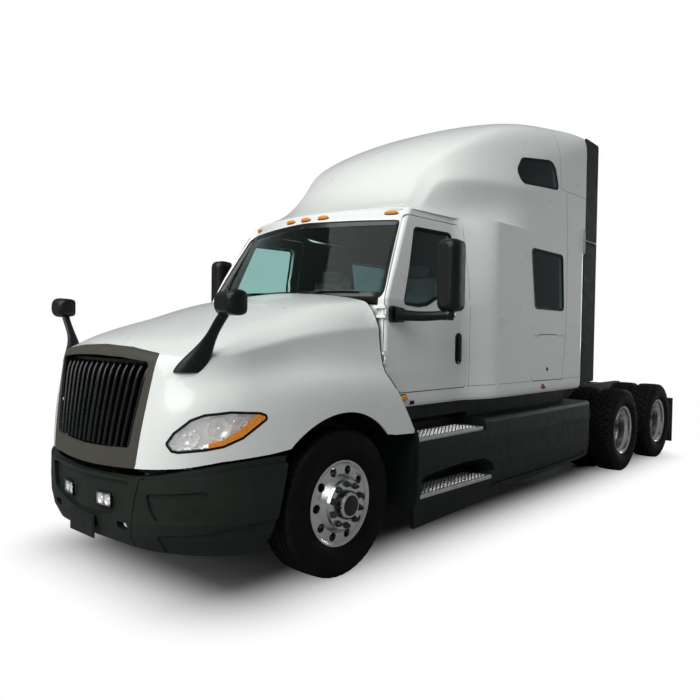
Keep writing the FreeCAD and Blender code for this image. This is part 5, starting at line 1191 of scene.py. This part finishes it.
# the steering wheel's pad, its stalks, and the pedals
RAKE = math.radians(30)
spot = Spot((at(0.56, 1.01, BELT - 0.128), Vector((0, math.cos(RAKE), math.sin(RAKE)))))
pad, stalks, pedals = Shape(), Shape(), Shape()
pad.block(spot.out(0.018), (0.15, 0.11, 0.03), 0.014, spot.rot)
for k in (-1, 1):
    for j in range(3):
        pad.block(spot.to(k * 0.1, 0.02 - 0.018 * j, 0.014), (0.026, 0.013, 0.01), 0.003, spot.rot)
    stalks.rod(spot.out(-0.075), spot.to(k * 0.165, 0.012, -0.062), 0.008, 12, 0.01, bevel=0.003)
pad.made("wheel_pad", "cabin", 35, "steering_wheel", slot="cabin_plastic")
stalks.turned(mm(-150, 0, -150, 48, -60, 44, -52, 36, -52, 0), spot.p, spot.n, 32)
stalks.made("column_stalks", "gloss", 40)
for x, h in ((0.42, 0.19), (0.56, 0.12), (0.68, 0.12)):
    pedals.block(at(x, 0.96, 1.275), (0.065, 0.014, h), 0.005, tilt(-28))
    pedals.rod(at(x, 0.945, 1.29), at(x, 0.88, 1.38), 0.008, 10)
pedals.made("pedals", "gloss", 35)

# door handles: a dark capsule with a grip
HANDLE_Y = 1.5075
for s, side in SIDES:
    body = "door_" + side
    door_skin = Skin(body)
    p, n = door_skin.side(HANDLE_Y, BELT - 0.385, s)
    above, _ = door_skin.side(HANDLE_Y, BELT - 0.22, s)
    spot = Spot((Vector((s * max(abs(p.x), abs(above.x)), p.y, p.z)), n))
    pan, grip, lock = Shape(), Shape(), Shape()
    ring = rounded(0.04, 0.128, 0.036, 0.012)
    spot.frame(pan, ring, mm(-6, -10, -6, 3, 0, 6, 6, 3, 6, -10))
    spot.layers(pan, ring, 0.35, ((0.98, 0.001), (0.55, -0.0035), (0.05, -0.005)))
    pan.made("handle_pan_" + side, "black", 50, body)
    spot.layers(grip, rounded(0.02, 0.108, 0.017, 0.01), 0.2,
                ((0.85, 0.000), (1.0, 0.006), (0.96, 0.014), (0.7, 0.018), (0.1, 0.019)))
    grip.made("handle_grip_" + side, "mirror_case", 50, body)
    lock.turned(mm(-2, 0, -2, 13, 3, 12, 4, 10, 4, 0),
                spot.to(0.0, -0.118, 0.002), spot.n, 24)
    lock.made("handle_lock_" + side, "steel", 50, body)

# rubber seals along the hood's rear edges
SEAL_LOW, SEAL_HIGH, ROWS = 1.285, BELT - 0.04, 33
for s, side in SIDES:
    edge = []
    for i in range(ROWS + 1):
        z = SEAL_LOW + (SEAL_HIGH - SEAL_LOW) * i / ROWS
        found = [hood_skin.side(0.3 + 0.002 * k, z, s)[0] for k in range(180)]
        edge += [p for p in found if p is not None and abs(p.x) > 0.88][-1:]
    Shape().sweep(edge, [Vector((s, 0, 0))] * len(edge), mm(-4, -4, -3.5, 2.2, 0, 3.4, 3.5, 2.2, 4, -4)).made(
        "hood_seal_" + side, "seal", 50, "hood")

# deck plate behind the cab
deck = Shape()
for y in (4.42, 4.7):
    deck.block(at(0, y, 1.006), (0.9, 0.26, 0.008), 0.003)
    for i in range(14):
        for j in range(4):
            deck.block(at(-0.4 + 0.0615 * i + (0.03 if j % 2 else 0), y - 0.093 + 0.062 * j, 1.0105),
                       (0.03, 0.007, 0.003), 0.0012, Matrix.Rotation(0.8 if (i + j) % 2 else -0.8, 3, "Z"))
deck.made("deck_plate", "plank", 35)

# couplings, and panel joints drawn as strips of painted shade, on the rear wall
rear = Skin("sleeper_shell", "roof_cap").rear
for i, x in enumerate((-0.78, 0.0, 0.78)):
    ribbon("rear_joint_%d" % i, [(x, z) for z in (1.3, 1.9, 2.5, 3.1, 3.55)], rear, 0.006)
ribbon("rear_joint_low", [(x, 1.36) for x in (-1.1, -0.6, 0.0, 0.6, 1.1)], rear, 0.006)
spot = Spot(rear(0, 1.62))
taps, tags = Shape(), (Shape(), Shape())
Shape().block(spot.out(0.006), (0.34, 0.15, 0.01), 0.004, spot.rot).made("coupling_plate", "frame", 35)
for tag, dx in zip(tags, (-0.105, 0.105)):
    c = spot.to(dx, 0.01, 0.012)
    taps.turned(mm(0, 0, 0, 24, 12, 22, 14, 14, 34, 14, 34, 0), c, spot.n,
                24)
    taps.rod(c + spot.n * 0.034, c + spot.n * 0.04 + spot.rot @ Vector((0, -0.05, 0)), 0.012, 16, 0.016,
             bevel=0.004)
    tag.block(c + spot.n * 0.04 + spot.rot @ Vector((0, 0.004, 0)), (0.044, 0.03, 0.02), 0.006, spot.rot)
c = spot.to(0, 0.008, 0.01)
taps.turned(mm(0, 0, 0, 34, 30, 34, 34, 30, 34, 0), c, spot.n, 28)
taps.block(c + spot.n * 0.036 + spot.rot @ Vector((0, 0.022, 0)), (0.05, 0.02, 0.008), 0.003, spot.rot)
taps.made("air_couplings", "steel", 40)
tags[0].made("coupling_tag_0", "red", 40)
tags[1].made("coupling_tag_1", "screen", 40)

# bezels of the tail lamps
tails = Shape()
for x in (-0.372, -0.26, 0.26, 0.372):
    tails.turned(mm(-4, 49, -4, 56, 2, 55, 4, 52, 3, 49),
                 at(x, 7.196, 0.86), (0, 1, 0), 36)
tails.made("tail_bezels", "seal", 40)


# camera, stage and light
def placed(name, data):
    ob = bpy.data.objects.new(name, data)
    bpy.context.scene.collection.objects.link(ob)
    return ob


yaw, pitch, roll = math.radians(41.97477), math.radians(-1.5566), math.radians(0.80704)
ahead = Vector((-math.sin(yaw) * math.cos(pitch), math.cos(yaw) * math.cos(pitch), math.sin(pitch)))
right = ahead.cross(Vector((0, 0, 1))).normalized()
above = right.cross(ahead)
right, above = (right * math.cos(roll) + above * math.sin(roll),
                -right * math.sin(roll) + above * math.cos(roll))
lens = bpy.data.cameras.new("camera")
lens.sensor_width, lens.lens, lens.clip_end = 36.0, 34.403, 400.0
cam = placed("camera", lens)
cam.matrix_world = Matrix((right, above, -ahead)).transposed().to_4x4()
cam.location = at(4.259, -3.394, 1.704)
bpy.context.scene.camera = cam

# the floor is dark grey near the object, a painted shadow round its footprint that real shadows also fall on,
# and turns into the white backdrop away from it
FLOOR_X, FLOOR_Y, FADE, FLOOR = 0.7, 3.55, 0.95, 60
pale = bpy.data.materials.new("floor_painted_shadow")
t = Nodes(pale)
shader = t.tree.nodes["Principled BSDF"]
place = t.add("TexCoord", "Object")
# painted shadow: near the footprint the camera sees the floor's own dark grey
speckle = t.add("TexNoise", "Fac", {"Vector": place, "Scale": 2.0})
t.feed(shader, {"Roughness": 0.9, "Specular IOR Level": 0.1,
                "Base Color": t.mixed(speckle, (0.25, 0.25, 0.25, 1), (0.28, 0.28, 0.28, 1))})
sides = t.add("SeparateXYZ", 0, {0: place}).node.outputs
squares = []
for v, edge in ((sides[0], FLOOR_X), (sides[1], FLOOR_Y)):
    beyond = t.maths("MAXIMUM", t.maths("SUBTRACT", t.maths("ABSOLUTE", v), edge), 0.0)
    squares.append(t.maths("MULTIPLY", beyond, beyond))
away = t.maths("POWER", t.maths("ADD", *squares), 0.5)
# the painted shadow fades to white over FADE beyond the footprint's half sizes FLOOR_X and FLOOR_Y
fade = t.add("MapRange", "Result", {"Value": away, "From Min": 0.0, "From Max": FADE},
             interpolation_type="SMOOTHSTEP")
seen = t.maths("MULTIPLY", fade, t.add("LightPath", "Is Camera Ray"))
glow = t.add("Emission", 0, {"Color": (1, 1, 1, 1), "Strength": 1.0})
both = t.add("MixShader", 0, {0: seen, 1: shader.outputs[0], 2: glow})
t.feed(t.tree.nodes["Material Output"], {"Surface": both})
me = bpy.data.meshes.new("floor")
me.from_pydata([(-FLOOR, -FLOOR, 0), (FLOOR, -FLOOR, 0), (FLOOR, FLOOR, 0), (-FLOOR, FLOOR, 0)], [],
               [(0, 1, 2, 3)])
me.materials.append(pale)
placed("floor", me)

# the sky lights softly and shows as white, through the glass too
world = bpy.data.worlds.new("studio")
bpy.context.scene.world = world
t = Nodes(world)
soft = t.tree.nodes["Background"]
t.feed(soft, {"Color": (0.93, 0.97, 1.0, 1), "Strength": 0.21})
white = t.add("Background", 0, {"Color": (1, 1, 1, 1), "Strength": 1.0})
rays = t.add("LightPath", 0).node.outputs
seen = t.maths("MAXIMUM", rays["Is Camera Ray"], rays["Is Transmission Ray"])
both = t.add("MixShader", 0, {0: seen, 1: soft.outputs[0], 2: white})
t.feed(t.tree.nodes["World Output"], {"Surface": both})

for name, direction, strength, angle, color in (("key", (-0.02, -0.9, 0.82), 3.35, 62, (1.0, 0.998, 0.98)),
                                                ("fill", (0.0, 1.0, 0.1), 0.7, 20, (1, 1, 1))):
    sun = bpy.data.lights.new(name, "SUN")
    sun.energy, sun.angle, sun.color = strength, math.radians(angle), color
    ob = placed(name, sun)
    ob.rotation_mode = "QUATERNION"
    ob.rotation_quaternion = Vector(direction).to_track_quat("Z", "Y")
bpy.context.scene.view_settings.view_transform = "Standard"
